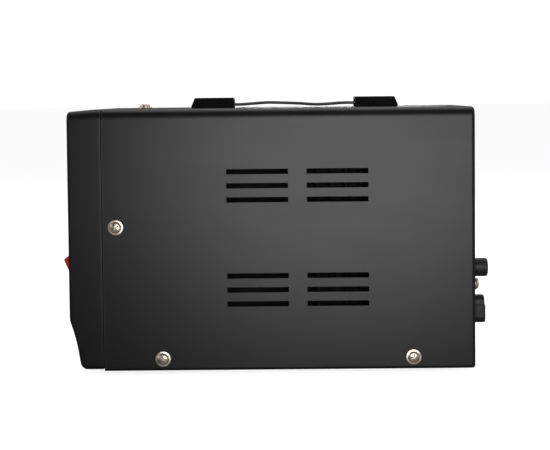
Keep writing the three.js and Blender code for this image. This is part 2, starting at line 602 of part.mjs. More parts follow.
function fanRotor() {
  const start = fanFront + 3.2;
  let rotor = rodY(12.5, FAN.x, FAN.z, start, start + 15.5, 20);
  const blades = 7;
  for (let i = 0; i < blades; i += 1) {
    const blade = block(-1, 1, -6.2, 6.2, 11.5, 27.2).rotate([0, 0, 38]).rotate([0, (i * 360) / blades, 0])
      .translate([FAN.x, start + 7.7, FAN.z]);
    rotor = rotor.add(blade);
  }
  return rotor;
}
piece('fan_rotor', fanRotor(), FINISH.darkPaint);

// The finger guard: four rings and four spokes of wire that end in eyes for the screws.
const guardRear = panelFace + GAP + 2 * FAN.wire;
function fanGuard() {
  const y = panelFace + GAP + FAN.wire;
  const ring = (radius, sides) => solid(new THREE.TorusGeometry(radius, FAN.wire, 4, sides)
    .rotateX(Math.PI / 2).translate(FAN.x, y, FAN.z));
  let guard = joined(ring(26.5, 24), ring(19.5, 20), ring(12.5, 16), ring(5.5, 12));
  for (const turn of [45, 135, 225, 315]) {
    guard = guard.add(block(-FAN.wire, FAN.wire, y - 0.6, y + 0.6, 5, 33).rotate([0, turn, 0])
      .translate([FAN.x, 0, FAN.z]));
  }
  for (const [x, z] of fanCorners) {
    guard = cut(guard.add(rodY(4, x, z, y - FAN.wire, y + FAN.wire, 12)), rodY(2, x, z, y - 3, y + 3, 8));
  }
  return guard;
}
piece('fan_guard', fanGuard(), FINISH.nickel);

fanCorners.forEach(([x, z], i) => {
  const profile = [[0, -17], [1.6, -17], [1.6, GAP], [3.4, GAP], [2.9, 1.5], [0, 2.1]];
  piece(`fan_screw_${i + 1}`, turned(profile, [x, guardRear, z], REARWARD, 12), FINISH.nickel);
});

// ---------------------------------------------------------------- inside

const deck = FLOOR + SHEET + GAP;

// The transformer: a laminated frame with a middle limb, and the winding around the limb.
function transformerCore() {
  const frame = block(-58, 8, 62, 118, deck, deck + 58);
  const windows = block(-46, -4, 61, 119, deck + 10, deck + 48);
  const limb = block(-33, -17, 62, 118, deck + 9, deck + 49);
  return cut(frame, windows).add(limb);
}
piece('transformer_core', transformerCore(), FINISH.steelCore);

function transformerWinding() {
  const coil = block(-45.4, -4.6, 52, 128, deck + 10.6, deck + 47.4);
  const passage = block(-33.4, -16.6, 61, 119, deck + 8, deck + 50);
  return cut(coil, passage);
}
piece('transformer_winding', transformerWinding(), FINISH.copper);

const BOARD = { x0: -56, x1: 8, y0: 138, y1: 228, z: deck + 8 };
function mainBoard() {
  let board = block(BOARD.x0, BOARD.x1, BOARD.y0, BOARD.y1, BOARD.z, BOARD.z + 1.6);
  for (const x of [BOARD.x0 + 5, BOARD.x1 - 5]) {
    for (const y of [BOARD.y0 + 5, BOARD.y1 - 5]) board = board.add(rodZ(3, x, y, deck, BOARD.z + 0.1, 6));
  }
  return board;
}
piece('main_board', mainBoard(), FINISH.board);

// A tall finned plate that divides the case and cools the power transistors.
const SINK = { x: 10, plate: 3, fin: 12, y0: 64, y1: 228, top: 150, fins: 10, finPitch: 9.5 };
function heatsink() {
  let sink = block(SINK.x, SINK.x + SINK.plate, SINK.y0, SINK.y1, deck, SINK.top);
  for (let i = 0; i < SINK.fins; i += 1) {
    const y = SINK.y1 - 2 - i * SINK.finPitch;
    sink = sink.add(block(SINK.x + 1, SINK.x + SINK.plate + SINK.fin, y, y + 2, deck, SINK.top));
  }
  return sink;
}
piece('heatsink', heatsink(), FINISH.anodised);

const capacitor = (x, y) => turned([[0, 0], [12, 0], [12.5, 1], [12.5, 44], [11.5, 45], [0, 45]],
  [x, y, BOARD.z + 1.6 + GAP], UP, 20);
piece('filter_capacitor_1', capacitor(-34, 160), FINISH.blueSleeve);
piece('filter_capacitor_2', capacitor(-6, 160), FINISH.blueSleeve);

// ---------------------------------------------------------------- origin

const foremost = PANEL.front - 1 - KNOB.depth;          // the knobs' front faces
const rearmost = CASE.depth + FUSE.out;                 // the fuse cap's outer end
powerSupply.position.set(0, -(foremost + rearmost) / 2, FOOT.below);

export default powerSupply;
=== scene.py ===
# %% [markdown]
# # Dressing a bench power supply
#
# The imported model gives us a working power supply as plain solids: a sheet-metal case, a moulded front, a
# strap handle, knobs, sockets, a fan. They are the right size and they move, but they look like drawings of
# parts. This script builds the surface a person would see, around that fixed frame. Everything is drawn in
# millimetres in "case coordinates": y = 0 at the front rim of the bezel, z = 0 at the bottom edge of the
# cover, x = 0 in the middle. One matrix then puts a finished mesh where the frame says, so nothing is ever
# fitted by eye.

# %% Load the frame
import math

import bmesh
import bpy
from mathutils import Matrix, Vector


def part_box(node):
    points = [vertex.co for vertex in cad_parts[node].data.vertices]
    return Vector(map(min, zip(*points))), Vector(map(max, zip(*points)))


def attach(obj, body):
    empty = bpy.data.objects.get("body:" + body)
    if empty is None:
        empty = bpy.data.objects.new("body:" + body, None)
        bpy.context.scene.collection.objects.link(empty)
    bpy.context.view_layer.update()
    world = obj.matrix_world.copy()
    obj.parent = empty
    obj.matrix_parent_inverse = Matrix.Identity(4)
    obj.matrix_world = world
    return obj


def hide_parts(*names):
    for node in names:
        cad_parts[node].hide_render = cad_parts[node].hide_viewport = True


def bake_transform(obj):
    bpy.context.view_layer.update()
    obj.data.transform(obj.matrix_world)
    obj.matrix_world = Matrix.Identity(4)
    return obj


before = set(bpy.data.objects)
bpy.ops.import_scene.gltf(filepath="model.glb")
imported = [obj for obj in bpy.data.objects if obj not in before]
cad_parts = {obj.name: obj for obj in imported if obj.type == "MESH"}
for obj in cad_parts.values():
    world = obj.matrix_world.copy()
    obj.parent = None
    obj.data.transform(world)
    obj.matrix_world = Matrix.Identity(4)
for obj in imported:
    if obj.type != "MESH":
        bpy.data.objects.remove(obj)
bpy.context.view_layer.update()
MM = 0.001
cover_low, cover_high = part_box("top_cover")
bezel_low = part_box("front_bezel")[0]
CASE = Matrix.Translation((0, bezel_low.y, cover_low.z)) @ Matrix.Scale(MM, 4)
HALF = cover_high.x / MM                        # half the case's width
DEPTH = (cover_high.y - bezel_low.y) / MM       # bezel rim to the cover's rear edge
HEIGHT = (cover_high.z - cover_low.z) / MM      # cover's bottom edge to its top
print(f"case {2 * HALF:.0f} wide, {DEPTH:.0f} deep, {HEIGHT:.1f} high, in mm")


def case_box(node):
    """A CAD node's lowest and highest corners in case coordinates, in mm."""
    return [CASE.inverted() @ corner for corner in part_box(node)]


# %% [markdown]
# ## Camera
#
# A product picture of the side is taken from well back with a long lens, so that the box hardly tapers. The
# camera stands level with the top of the case and looks a few degrees down; the small downward shift keeps
# the uprights nearly parallel, and the little roll is the tilt of a hand-held camera.

# %% Camera
CAMERA_PLACE = (1.0839, 0.0030, 0.1808)
CAMERA_TURN = {"yaw": 0.382, "pitch": -3.238, "roll": -0.569}    # degrees
LENS = 104.93                                                   # mm, on a 36 mm wide sensor

camera_data = bpy.data.cameras.new("side_camera")
camera_data.lens = LENS
camera_data.sensor_width = 36
camera_data.shift_x = 0.015
camera_data.shift_y = -0.0767
camera_data.clip_start = 0.01
camera = bpy.data.objects.new("side_camera", camera_data)
bpy.context.scene.collection.objects.link(camera)
yaw, pitch, roll = (math.radians(CAMERA_TURN[key]) for key in ("yaw", "pitch", "roll"))
camera.matrix_world = (Matrix.Translation(CAMERA_PLACE) @ Matrix.Rotation(math.pi / 2 + yaw, 4, "Z")
                       @ Matrix.Rotation(math.pi / 2 + pitch, 4, "X") @ Matrix.Rotation(roll, 4, "Z"))
bpy.context.scene.camera = camera
print("camera at", [round(value, 3) for value in camera.matrix_world.translation])

# %% [markdown]
# ## Nodes from Python
#
# Shader trees and geometry trees are both graphs, so one small class builds either. `Graph.add` takes a
# node's type, its settings and what goes into its sockets; it returns a `Wire`. A `Wire` understands + -
# and *, so `rough = 0.4 + grain * 0.1` writes its own Math nodes and still reads like the sum it is.

# %% A wire that can do sums, and the graph it belongs to


class Wire:
    """One output of a node, ready for arithmetic with numbers or other wires."""

    def __init__(self, graph, socket):
        self.graph, self.socket = graph, socket

    def _sum(self, operation, first, second):
        return self.graph.add("ShaderNodeMath", {"operation": operation}, {0: first, 1: second})

    def __add__(self, other):
        return self._sum("ADD", self, other)

    def __sub__(self, other):
        return self._sum("SUBTRACT", self, other)

    def __rsub__(self, other):
        return self._sum("SUBTRACT", other, self)

    def __mul__(self, other):
        return self._sum("MULTIPLY", self, other)

    __radd__ = __add__
    __rmul__ = __mul__

    def output(self, name):
        return Wire(self.graph, self.socket.node.outputs[name])


class Graph:
    """Builds a node tree from types, settings and sockets."""

    def __init__(self, tree):
        self.tree = tree

    def add(self, kind, settings=None, inputs=None):
        node = self.tree.nodes.new(kind)
        for name, value in (settings or {}).items():
            setattr(node, name, value)
        for name, value in (inputs or {}).items():
            self.feed(self._socket(node, name), value)
        return Wire(self, next((s for s in node.outputs if s.enabled), None))

    def _socket(self, node, name):
        if isinstance(name, int):
            return node.inputs[name]
        return next(s for s in node.inputs if s.name == name and s.enabled)

    def feed(self, socket, value):
        if isinstance(value, Wire):
            self.tree.links.new(value.socket, socket)
        else:
            socket.default_value = value


# %% [markdown]
# ## Finishes
#
# A finish is more than a colour. Powder coat has a fine orange-peel skin, a moulding carries spark-erosion
# grain, nickel is cloudy and faintly flecked, rubber dulls where it is handled. Each finish below is one
# short function. The patterns read Object coordinates in metres, so a 1 mm grain is 1 mm on every piece.
# Only colour, roughness, metallic, coat and bump vary over a surface; whatever is constant is set on the
# shader itself.

# %% The common ground of every finish


class Finish(Graph):
    """A material with a Principled shader, and the few patterns that most finishes share."""

    def __init__(self, name, colour, roughness, metallic=0.0, specular=0.5):
        self.material = bpy.data.materials.new(name)
        self.material.use_nodes = True
        self.material.diffuse_color = (*colour, 1)
        super().__init__(self.material.node_tree)
        self.tree.nodes.clear()
        self.shader = self.tree.nodes.new("ShaderNodeBsdfPrincipled")
        output = self.tree.nodes.new("ShaderNodeOutputMaterial")
        self.tree.links.new(self.shader.outputs["BSDF"], output.inputs["Surface"])
        self.put("Base Color", (*colour, 1))
        self.put("Roughness", roughness)
        self.put("Metallic", metallic)
        self.put("Specular IOR Level", specular)
        self.where = self.add("ShaderNodeTexCoord").output("Object")

    def put(self, socket, value):
        self.feed(self.shader.inputs[socket], value)

    def noise(self, size, detail=2.0, roughness=0.5, stretch=(1, 1, 1), distortion=0.0):
        """Noise from 0 to 1 whose blobs are about `size` metres across."""
        place = self.add("ShaderNodeMapping", None, {"Vector": self.where, "Scale": stretch})
        return self.add("ShaderNodeTexNoise", None, {
            "Vector": place, "Scale": 1 / size, "Detail": detail, "Roughness": roughness,
            "Distortion": distortion})

    def cells(self, size):
        """Distance to the nearest of points scattered about `size` metres apart."""
        return self.add("ShaderNodeTexVoronoi", None, {"Vector": self.where, "Scale": 1 / size})

    def between(self, value, low, high, start=0.0, end=1.0):
        """`value` stretched so that low..high becomes start..end, and clamped."""
        return self.add("ShaderNodeMapRange", None, {
            "Value": value, "From Min": low, "From Max": high, "To Min": start, "To Max": end})

    def mix(self, factor, first, second):
        """Colour that goes from first to second as factor goes from 0 to 1."""
        shades = [value if isinstance(value, Wire) else (*value, 1) for value in (first, second)]
        return self.add("ShaderNodeMix", {"data_type": "RGBA"}, {0: factor, 6: shades[0], 7: shades[1]})

    def attribute(self, name):
        return self.add("ShaderNodeAttribute", {"attribute_name": name}).output("Fac")

    def bump(self, *layers):
        """Bumps laid over one another; a layer is (height, depth in metres, strength)."""
        normal = None
        for height, depth, strength in layers:
            inputs = {"Height": height, "Distance": depth, "Strength": strength}
            if normal is not None:
                inputs["Normal"] = normal
            normal = self.add("ShaderNodeBump", None, inputs)
        self.put("Normal", normal)


def shade(level):
    """A neutral colour from an eye-level grey of 0 to 255."""
    value = level / 255
    linear = value / 12.92 if value <= 0.04045 else ((value + 0.055) / 1.055) ** 2.4
    return (linear, linear, linear)


# %% [markdown]
# ### Painted steel
#
# The cover is powder coated: the powder melts into a satin skin with shallow dimples a millimetre or two
# apart. Two bumps make it, a broad soft one for the orange peel and a very fine one that only breaks the
# highlight. The coat is thinnest on folded and punched edges, which handling wears a little paler and
# rougher.

# %% Powder coat and matt paint


def powder_coat():
    finish = Finish("satin_black_powder_coat", shade(4), 0.4, specular=0.15)
    peel = finish.noise(0.0022, detail=1.5)
    grit = finish.noise(0.00035, detail=2)
    cloud = finish.noise(0.045, detail=3, roughness=0.6)
    smear = finish.noise(0.02, detail=4, roughness=0.65, stretch=(1, 0.35, 1.6), distortion=0.4)
    worn = finish.attribute("edge")
    tone = finish.mix(finish.between(cloud, 0.3, 0.7), shade(3), shade(6))
    finish.put("Base Color", finish.mix(worn * finish.between(grit, 0.3, 0.7, 0.15, 0.6), tone, shade(58)))
    finish.put("Roughness", 0.37 + finish.between(smear, 0.3, 0.75) * 0.03 + grit * 0.04 + worn * 0.06)
    finish.bump((peel, 0.00005, 0.35), (grit, 0.00001, 0.35))
    return finish.material


def matt_paint():
    finish = Finish("matt_black_paint", shade(24), 0.5, specular=0.3)
    grit = finish.noise(0.0006, detail=3)
    cloud = finish.noise(0.03, detail=3)
    finish.put("Base Color", finish.mix(finish.between(cloud, 0.3, 0.7), shade(20), shade(30)))
    finish.put("Roughness", 0.46 + grit * 0.14)
    finish.bump((grit, 0.00003, 0.5))
    return finish.material


# %% [markdown]
# ### Mouldings and rubber
#
# Moulded parts copy the grain of their mould: tiny flat-topped cells, made here from Voronoi distance. The
# bezel is a hard black plastic with a soft sheen; the panel inside it is a shade greyer. Rubber scatters
# light more and keeps the dust it picks up.

# %% Moulded plastic, polished plastic and rubber


def moulded(name, dark, light, rough, grain=0.0007, depth=0.00002, specular=0.35):
    finish = Finish(name, shade((dark + light) / 2), rough, specular=specular)
    cell = finish.cells(grain)
    flow = finish.noise(0.03, detail=3, roughness=0.6)
    scuff = finish.noise(0.006, detail=5, roughness=0.7)
    worn = finish.attribute("edge")
    tone = finish.mix(finish.between(flow, 0.3, 0.7), shade(dark), shade(light))
    rubbed = worn * finish.between(scuff, 0.35, 0.7, 0.0, 0.5)
    finish.put("Base Color", finish.mix(rubbed, tone, shade(light + 34)))
    finish.put("Roughness", rough - 0.05 + finish.between(scuff, 0.35, 0.7) * 0.09 + cell * 0.04)
    finish.bump((cell, depth, 0.5))
    return finish.material


def polished(name, colour, rough):
    finish = Finish(name, colour, rough)
    ripple = finish.noise(0.006, detail=1)
    wipe = finish.noise(0.004, detail=5, roughness=0.7, stretch=(1, 1, 0.4))
    deep = tuple(channel * 0.82 for channel in colour)
    finish.put("Base Color", finish.mix(finish.between(ripple, 0.3, 0.7), deep, colour))
    finish.put("Roughness", rough + finish.between(wipe, 0.45, 0.75) * 0.12)
    finish.bump((ripple, 0.00002, 0.2))
    return finish.material


def smoked():
    """Brown-grey acrylic that lets the digits show through faintly."""
    finish = Finish("smoked_window", shade(16), 0.05)
    finish.put("Alpha", 0.42)
    haze = finish.noise(0.02, detail=2)
    finish.put("Base Color", finish.mix(haze, (0.006, 0.004, 0.004), (0.009, 0.006, 0.006)))
    finish.put("Roughness", 0.04 + finish.between(haze, 0.4, 0.8) * 0.03)
    return finish.material


def strap_rubber():
    finish = Finish("strap_rubber", shade(52), 0.5, specular=0.45)
    pebble = finish.cells(0.0009)
    dusty = finish.noise(0.009, detail=4, roughness=0.65)
    tone = finish.mix(finish.between(dusty, 0.35, 0.75), shade(40), shade(62))
    finish.put("Base Color", tone)
    finish.put("Roughness", 0.42 + finish.between(dusty, 0.3, 0.7) * 0.16)
    finish.bump((pebble, 0.00005, 0.6))
    return finish.material


def foot_rubber():
    finish = Finish("foot_rubber", shade(34), 0.8, specular=0.3)
    speck = finish.noise(0.0008, detail=3)
    finish.put("Base Color", finish.mix(speck, shade(26), shade(46)))
    finish.put("Roughness", 0.72 + speck * 0.2)
    finish.bump((speck, 0.00005, 0.6))
    return finish.material


# %% [markdown]
# ### Metals
#
# Bare metal gets its colour from the Base Color and everything else from its roughness. Nickel plate is
# slightly warm; zinc plate is bluer and cloudy; a rolled sheet has long fine scratches one way, which is
# noise squeezed along one axis.

# %% Plated and rolled metal


def plated(name, dark, light, rough, speck=0.0015):
    finish = Finish(name, light, rough, metallic=1.0)
    cloud = finish.noise(speck * 3, detail=4, roughness=0.6)
    fleck = finish.noise(speck * 0.25, detail=3)
    finish.put("Base Color", finish.mix(finish.between(cloud, 0.3, 0.7), dark, light))
    finish.put("Roughness", rough - 0.06 + finish.between(cloud, 0.3, 0.7) * 0.14 + fleck * 0.05)
    finish.bump((fleck, 0.00001, 0.35))
    return finish.material


def rolled(name, dark, light, rough, along=(1, 0.03, 1)):
    finish = Finish(name, light, rough, metallic=1.0)
    line = finish.noise(0.0005, detail=3, stretch=along)
    bloom = finish.cells(0.006)
    tone = finish.mix(finish.between(bloom, 0.1, 0.7) * 0.5 + line * 0.5, dark, light)
    finish.put("Base Color", tone)
    finish.put("Roughness", rough + line * 0.16)
    finish.bump((line, 0.00001, 0.4))
    return finish.material


def circuit_board():
    """Green solder resist over copper runs, with tinned pads."""
    finish = Finish("circuit_board", (0.02, 0.13, 0.05), 0.35)
    runs = finish.add("ShaderNodeTexBrick", {"offset": 0.5}, {
        "Vector": finish.where, "Scale": 1.0, "Mortar Size": 0.0003, "Mortar Smooth": 0.1, "Bias": 0.0,
        "Brick Width": 0.0062, "Row Height": 0.0031}).output("Fac")
    pads = finish.cells(0.0042)
    pad = finish.between(pads, 0.12, 0.16, 1.0, 0.0)
    resist = finish.mix(runs, (0.016, 0.11, 0.04), (0.035, 0.2, 0.07))
    finish.put("Base Color", finish.mix(pad, resist, (0.62, 0.62, 0.6)))
    finish.put("Metallic", pad)
    finish.put("Roughness", 0.34 + pad * 0.1)
    finish.bump((runs, 0.00004, 0.5), (pad, 0.0001, 0.5))
    return finish.material


# A black anodised finish, kept near-black so that the heatsink seen through the slots paints the shade
# inside the case.
def anodised_and_painted_shade():
    finish = Finish("black_anodised", shade(5), 0.6, specular=0.06)
    line = finish.noise(0.0004, detail=3, stretch=(1, 0.02, 1))
    finish.put("Base Color", finish.mix(line, shade(3), shade(9)))
    finish.put("Roughness", 0.5 + line * 0.2)
    finish.bump((line, 0.00002, 0.5))
    return finish.material


def lacquered_steel():
    """Brown lacquer pooled between laminations, thin enough at the edges for steel to show."""
    finish = Finish("lacquered_laminations", (0.1, 0.08, 0.06), 0.4, metallic=0.7)
    pool = finish.noise(0.012, detail=4, roughness=0.6)
    speck = finish.noise(0.0008, detail=2)
    tone = finish.mix(finish.between(pool, 0.35, 0.65), (0.05, 0.035, 0.025), (0.2, 0.18, 0.16))
    finish.put("Base Color", tone)
    finish.put("Roughness", 0.3 + finish.between(pool, 0.3, 0.7) * 0.25)
    finish.bump((speck, 0.00003, 0.5))
    return finish.material


def tape():
    """Yellow polyester tape wound in overlapping turns."""
    finish = Finish("winding_tape", (0.55, 0.36, 0.06), 0.3)
    bands = {"wave_type": "BANDS", "bands_direction": "Y", "wave_profile": "SAW"}
    turns = finish.add("ShaderNodeTexWave", bands, {
        "Vector": finish.where, "Scale": 34.0, "Distortion": 0.3, "Detail": 1.0}).output("Fac")
    crease = finish.noise(0.004, detail=4, stretch=(1, 0.3, 1))
    finish.put("Base Color", finish.mix(turns, (0.42, 0.25, 0.03), (0.62, 0.42, 0.08)))
    finish.put("Roughness", 0.22 + crease * 0.25)
    finish.bump((turns, 0.0001, 0.5), (crease, 0.00004, 0.4))
    return finish.material


FINISH = {
    "cover": powder_coat(),
    "rear": matt_paint(),
    "bezel": moulded("bezel_plastic", 3, 6, 0.41, grain=0.0006, depth=0.00002, specular=0.14),
    "cap": moulded("cap_plastic", 5, 8, 0.7, grain=0.0006, depth=0.00002, specular=0.05),
    "fitting": moulded("fitting_plastic", 9, 14, 0.5, grain=0.0009, depth=0.00001, specular=0.16),
    "panel": moulded("panel_plastic", 40, 48, 0.5, grain=0.0005, depth=0.00002),
    "knob": moulded("knob_plastic", 22, 30, 0.42, grain=0.0005, depth=0.00002, specular=0.5),
    "key": moulded("key_plastic", 118, 130, 0.5, grain=0.0005, depth=0.00002, specular=0.5),
    "fan": moulded("fan_plastic", 20, 26, 0.38, grain=0.0008, depth=0.00001, specular=0.5),
    "strap": strap_rubber(),
    "foot": foot_rubber(),
    "red": polished("rocker_red", (0.52, 0.012, 0.018), 0.16),
    "nickel": plated("nickel_plate", (0.26, 0.23, 0.19), (0.40, 0.36, 0.30), 0.32),
    "zinc": rolled("zinc_plate", (0.42, 0.44, 0.47), (0.62, 0.64, 0.66), 0.3),
    "white": moulded("white_paint", 205, 222, 0.5, grain=0.0004, depth=0.000005),
    "window": smoked(),
    "digit_body": polished("digit_filler", (0.012, 0.009, 0.009), 0.3),
    "digit_bar": polished("digit_bar", (0.42, 0.36, 0.35), 0.4),
    "lamp_green": polished("lamp_green", (0.02, 0.16, 0.05), 0.12),
    "lamp_red": polished("lamp_red", (0.28, 0.02, 0.015), 0.12),
    "socket_red": polished("socket_red", (0.46, 0.02, 0.015), 0.28),
    "socket_green": polished("socket_green", (0.03, 0.2, 0.045), 0.28),
    "socket_black": polished("socket_black", shade(26), 0.28),
    "board": circuit_board(),
    "glass": polished("fuse_glass", (0.5, 0.53, 0.53), 0.08),
    "sink": anodised_and_painted_shade(),
    "core": lacquered_steel(),
    "winding": tape(),
    "sleeve": polished("blue_sleeve", (0.012, 0.03, 0.12), 0.3),
}
print(len(FINISH), "finishes")

# %% [markdown]
# ## Making meshes
#
# Most pieces here are one of four things: a loft (rings of points joined by quads), a turned shape (a
# profile spun about an axis), a pressed outline (a flat shape with thickness), or copies of one of those
# placed by a Geometry Nodes tree. The helpers below make each. Each closes its own seams and poles, so a
# mesh is always a skin with no holes, and `settle` gives it its finish and the body it rides on.

# %% Lofts, turned shapes and pressed outlines
POLE = 0.001                                    # mm, how far from its axis a turned shape's pole is drawn


def mesh_object(name, points, faces, place=True):
    """A mesh object from points in case millimetres."""
    mesh = bpy.data.meshes.new(name)
    mesh.from_pydata([tuple(point) for point in points], [], faces)
    if place:
        mesh.transform(CASE)
    mesh.update()
    piece = bpy.data.objects.new(name, mesh)
    bpy.context.scene.collection.objects.link(piece)
    return piece


def loft(name, rings, closed=True, caps=False, joined=False, place=True):
    """Rings of equal length joined by quads. joined links the last ring to the first."""
    count = len(rings[0])
    points = [point for ring in rings for point in ring]
    faces = []
    spans = len(rings) if joined else len(rings) - 1
    for row in range(spans):
        here, there = row * count, ((row + 1) % len(rings)) * count
        for i in range(count if closed else count - 1):
            j = (i + 1) % count
            faces.append((here + i, here + j, there + j, there + i))
    if caps:
        faces.append(tuple(reversed(range(count))))
        faces.append(tuple(range(len(points) - count, len(points))))
    return mesh_object(name, points, faces, place)


def turned(name, profile, at=(0, 0, 0), along=(0, 0, 1), steps=48, place=True):
    """A profile of (radius, distance) spun about the axis from `at` in the direction `along`."""
    spin = Vector((0, 0, 1)).rotation_difference(Vector(along)).to_matrix()
    rings = []
    for radius, distance in profile:
        ring = []
        reach = max(radius, POLE)
        for i in range(steps):
            angle = 2 * math.pi * i / steps
            spoke = Vector((reach * math.cos(angle), reach * math.sin(angle), distance))
            ring.append(Vector(at) + spin @ spoke)
        rings.append(ring)
    piece = loft(name, rings, place=False)
    mesh = bmesh.new()
    mesh.from_mesh(piece.data)
    bmesh.ops.remove_doubles(mesh, verts=mesh.verts, dist=4 * POLE)
    bmesh.ops.recalc_face_normals(mesh, faces=mesh.faces)
    mesh.to_mesh(piece.data)
    mesh.free()
    if place:
        piece.data.transform(CASE)
    return piece


def pressed(name, outline, low, high, axis="X", place=True):
    """A flat closed outline given thickness along an axis, from low to high."""
    orders = {"X": lambda a, b, t: (t, a, b), "Y": lambda a, b, t: (a, t, b), "Z": lambda a, b, t: (a, b, t)}
    rings = [[orders[axis](a, b, level) for a, b in outline] for level in (low, high)]
    piece = loft(name, rings, caps=True, place=place)
    right_way_out(piece)
    return piece


def right_way_out(piece):
    mesh = bmesh.new()
    mesh.from_mesh(piece.data)
    bmesh.ops.recalc_face_normals(mesh, faces=mesh.faces)
    mesh.to_mesh(piece.data)
    mesh.free()
    return piece


def arc(centre, radius, start, end, steps):
    """Points on an arc, from start to end in degrees, both included."""
    angles = [math.radians(start + (end - start) * i / steps) for i in range(steps + 1)]
    return [(centre[0] + radius * math.cos(a), centre[1] + radius * math.sin(a)) for a in angles]


def smooth(value, low, high):
    """0 below low, 1 above high, and an S-curve between."""
    t = min(1.0, max(0.0, (value - low) / (high - low)))
    return t * t * (3 - 2 * t)


def rounded_rectangle(low, high, radius, steps=6):
    """A rectangle with rounded corners, counter-clockwise from the lower right."""
    left, right = low[0] + radius, high[0] - radius
    bottom, top = low[1] + radius, high[1] - radius
    corners = ((right, bottom, -90), (right, top, 0), (left, top, 90), (left, bottom, 180))
    return [point for x, y, start in corners for point in arc((x, y), radius, start, start + 90, steps)]


def block(name, low, high, place=True):
    (x0, y0, z0), (x1, y1, z1) = low, high
    return pressed(name, [(x0, y0), (x1, y0), (x1, y1), (x0, y1)], z0, z1, "Z", place)


def upright(name, low, high, radius, steps):
    """A plate that faces front and rear, between two corners, with the corners of its outline rounded."""
    outline = rounded_rectangle((low[0], low[2]), (high[0], high[2]), radius, steps)
    return pressed(name, outline, low[1], high[1], "Y")


# %% [markdown]
# ### Finishing a mesh
#
# Real edges are never perfectly sharp: a small bevel catches the light and tells the eye how big a thing
# is. `soften` adds it. Weighted normals keep the big flat faces flat right up to the bevels.

# %% Bevel, cut, weld and settle


def weld(piece):
    """Turns a piece with modifiers into a plain mesh."""
    bpy.context.view_layer.update()
    evaluated = piece.evaluated_get(bpy.context.evaluated_depsgraph_get())
    mesh = bpy.data.meshes.new_from_object(evaluated)
    piece.modifiers.clear()
    piece.data = mesh
    return piece


def soften(piece, width, segments=3, angle=35):
    """Rounds every edge sharper than `angle` degrees; width is in mm."""
    bevel = piece.modifiers.new("soften", "BEVEL")
    bevel.width = width * MM
    bevel.segments = segments
    bevel.limit_method = "ANGLE"
    bevel.angle_limit = math.radians(angle)
    bevel.use_clamp_overlap = True
    return weld(piece)


def rounded_block(name, low, high, radius):
    """A block with soft edges, drawn in millimetres about the origin as a model for copies."""
    return soften(block(name, low, high, place=False), radius / MM, segments=2)


def even_shading(piece, angle=38):
    """Smooth shading that breaks at sharp edges and leaves large faces flat."""
    piece.data.shade_smooth()
    piece.data.set_sharp_from_angle(angle=math.radians(angle))
    weighted = piece.modifiers.new("even_shading", "WEIGHTED_NORMAL")
    weighted.keep_sharp = True
    weighted.weight = 80
    return weld(piece)


def combine(piece, other, operation):
    """Adds another shape to a piece (UNION) or takes it out (DIFFERENCE), and removes the other."""
    boolean = piece.modifiers.new("combine", "BOOLEAN")
    boolean.operation = operation
    boolean.solver = "EXACT"
    boolean.object = other
    weld(piece)
    bpy.data.objects.remove(other)


def cut(piece, *cutters):
    """Takes the cutters' shapes out of a piece."""
    for cutter in cutters:
        combine(piece, cutter, "DIFFERENCE")
    return piece


def join(name, *pieces):
    """Several meshes as one."""
    whole = bmesh.new()
    for piece in pieces:
        whole.from_mesh(piece.data)
        bpy.data.objects.remove(piece)
    mesh = bpy.data.meshes.new(name)
    whole.to_mesh(mesh)
    whole.free()
    joined = bpy.data.objects.new(name, mesh)
    bpy.context.scene.collection.objects.link(joined)
    return joined


def mark_edges(piece):
    """Stores `edge` on each face: 1 on the narrow faces of a bevel, 0 on broad ones."""
    mesh = bmesh.new()
    mesh.from_mesh(piece.data)
    values = []
    for face in mesh.faces:
        width = face.calc_area() / max(edge.calc_length() for edge in face.edges) / MM
        turn = max(math.degrees(edge.calc_face_angle(0)) for edge in face.edges)
        values.append(smooth(turn, 9, 22) * (1 - smooth(width, 0.2, 0.6)))
    mesh.free()
    mark = piece.data.attributes.get("edge") or piece.data.attributes.new("edge", "FLOAT", "FACE")
    mark.data.foreach_set("value", values)
    return piece


def settle(piece, body, slot, finish, *nodes, edges=True):
    """Gives a finished mesh its material and its body, and hides the CAD nodes it stands for."""
    piece.data.materials.clear()
    piece.data.materials.append(FINISH[finish])
    piece.data.polygons.foreach_set("material_index", [0] * len(piece.data.polygons))
    if edges:
        mark_edges(piece)
    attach(piece, body)
    if nodes:
        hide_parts(*nodes)
    print(f"{piece.name}: {len(piece.data.polygons)} faces on {body}")
    return piece


# %% [markdown]
# ## Copies by rule
#
# Screws, slots, ribs, blades and fins repeat, so a Geometry Nodes tree places them. `scatter_tree` puts
# copies of a small mesh on the vertices of a guide mesh, each turned to the direction stored on its vertex.
# `punch_tree` lays out a grid of cutters and takes them out of a sheet. Both end in Realize Instances and
# Set Material, so the result is an ordinary mesh.

# %% Two Geometry Nodes trees


def group(name, sockets):
    """An empty geometry tree with Geometry in and out and the named inputs."""
    tree = bpy.data.node_groups.new(name, "GeometryNodeTree")
    tree.interface.new_socket("Geometry", in_out="OUTPUT", socket_type="NodeSocketGeometry")
    tree.interface.new_socket("Geometry", in_out="INPUT", socket_type="NodeSocketGeometry")
    for label, kind in sockets.items():
        tree.interface.new_socket(label, in_out="INPUT", socket_type=f"NodeSocket{kind}")
    graph = Graph(tree)
    start = graph.add("NodeGroupInput")
    return graph, start


def close(graph, geometry, material):
    """Ends a tree the way the export needs it: real geometry with a material."""
    real = graph.add("GeometryNodeRealizeInstances", None, {"Geometry": geometry})
    painted = graph.add("GeometryNodeSetMaterial", None, {"Geometry": real, "Material": material})
    graph.add("NodeGroupOutput", None, {0: painted})


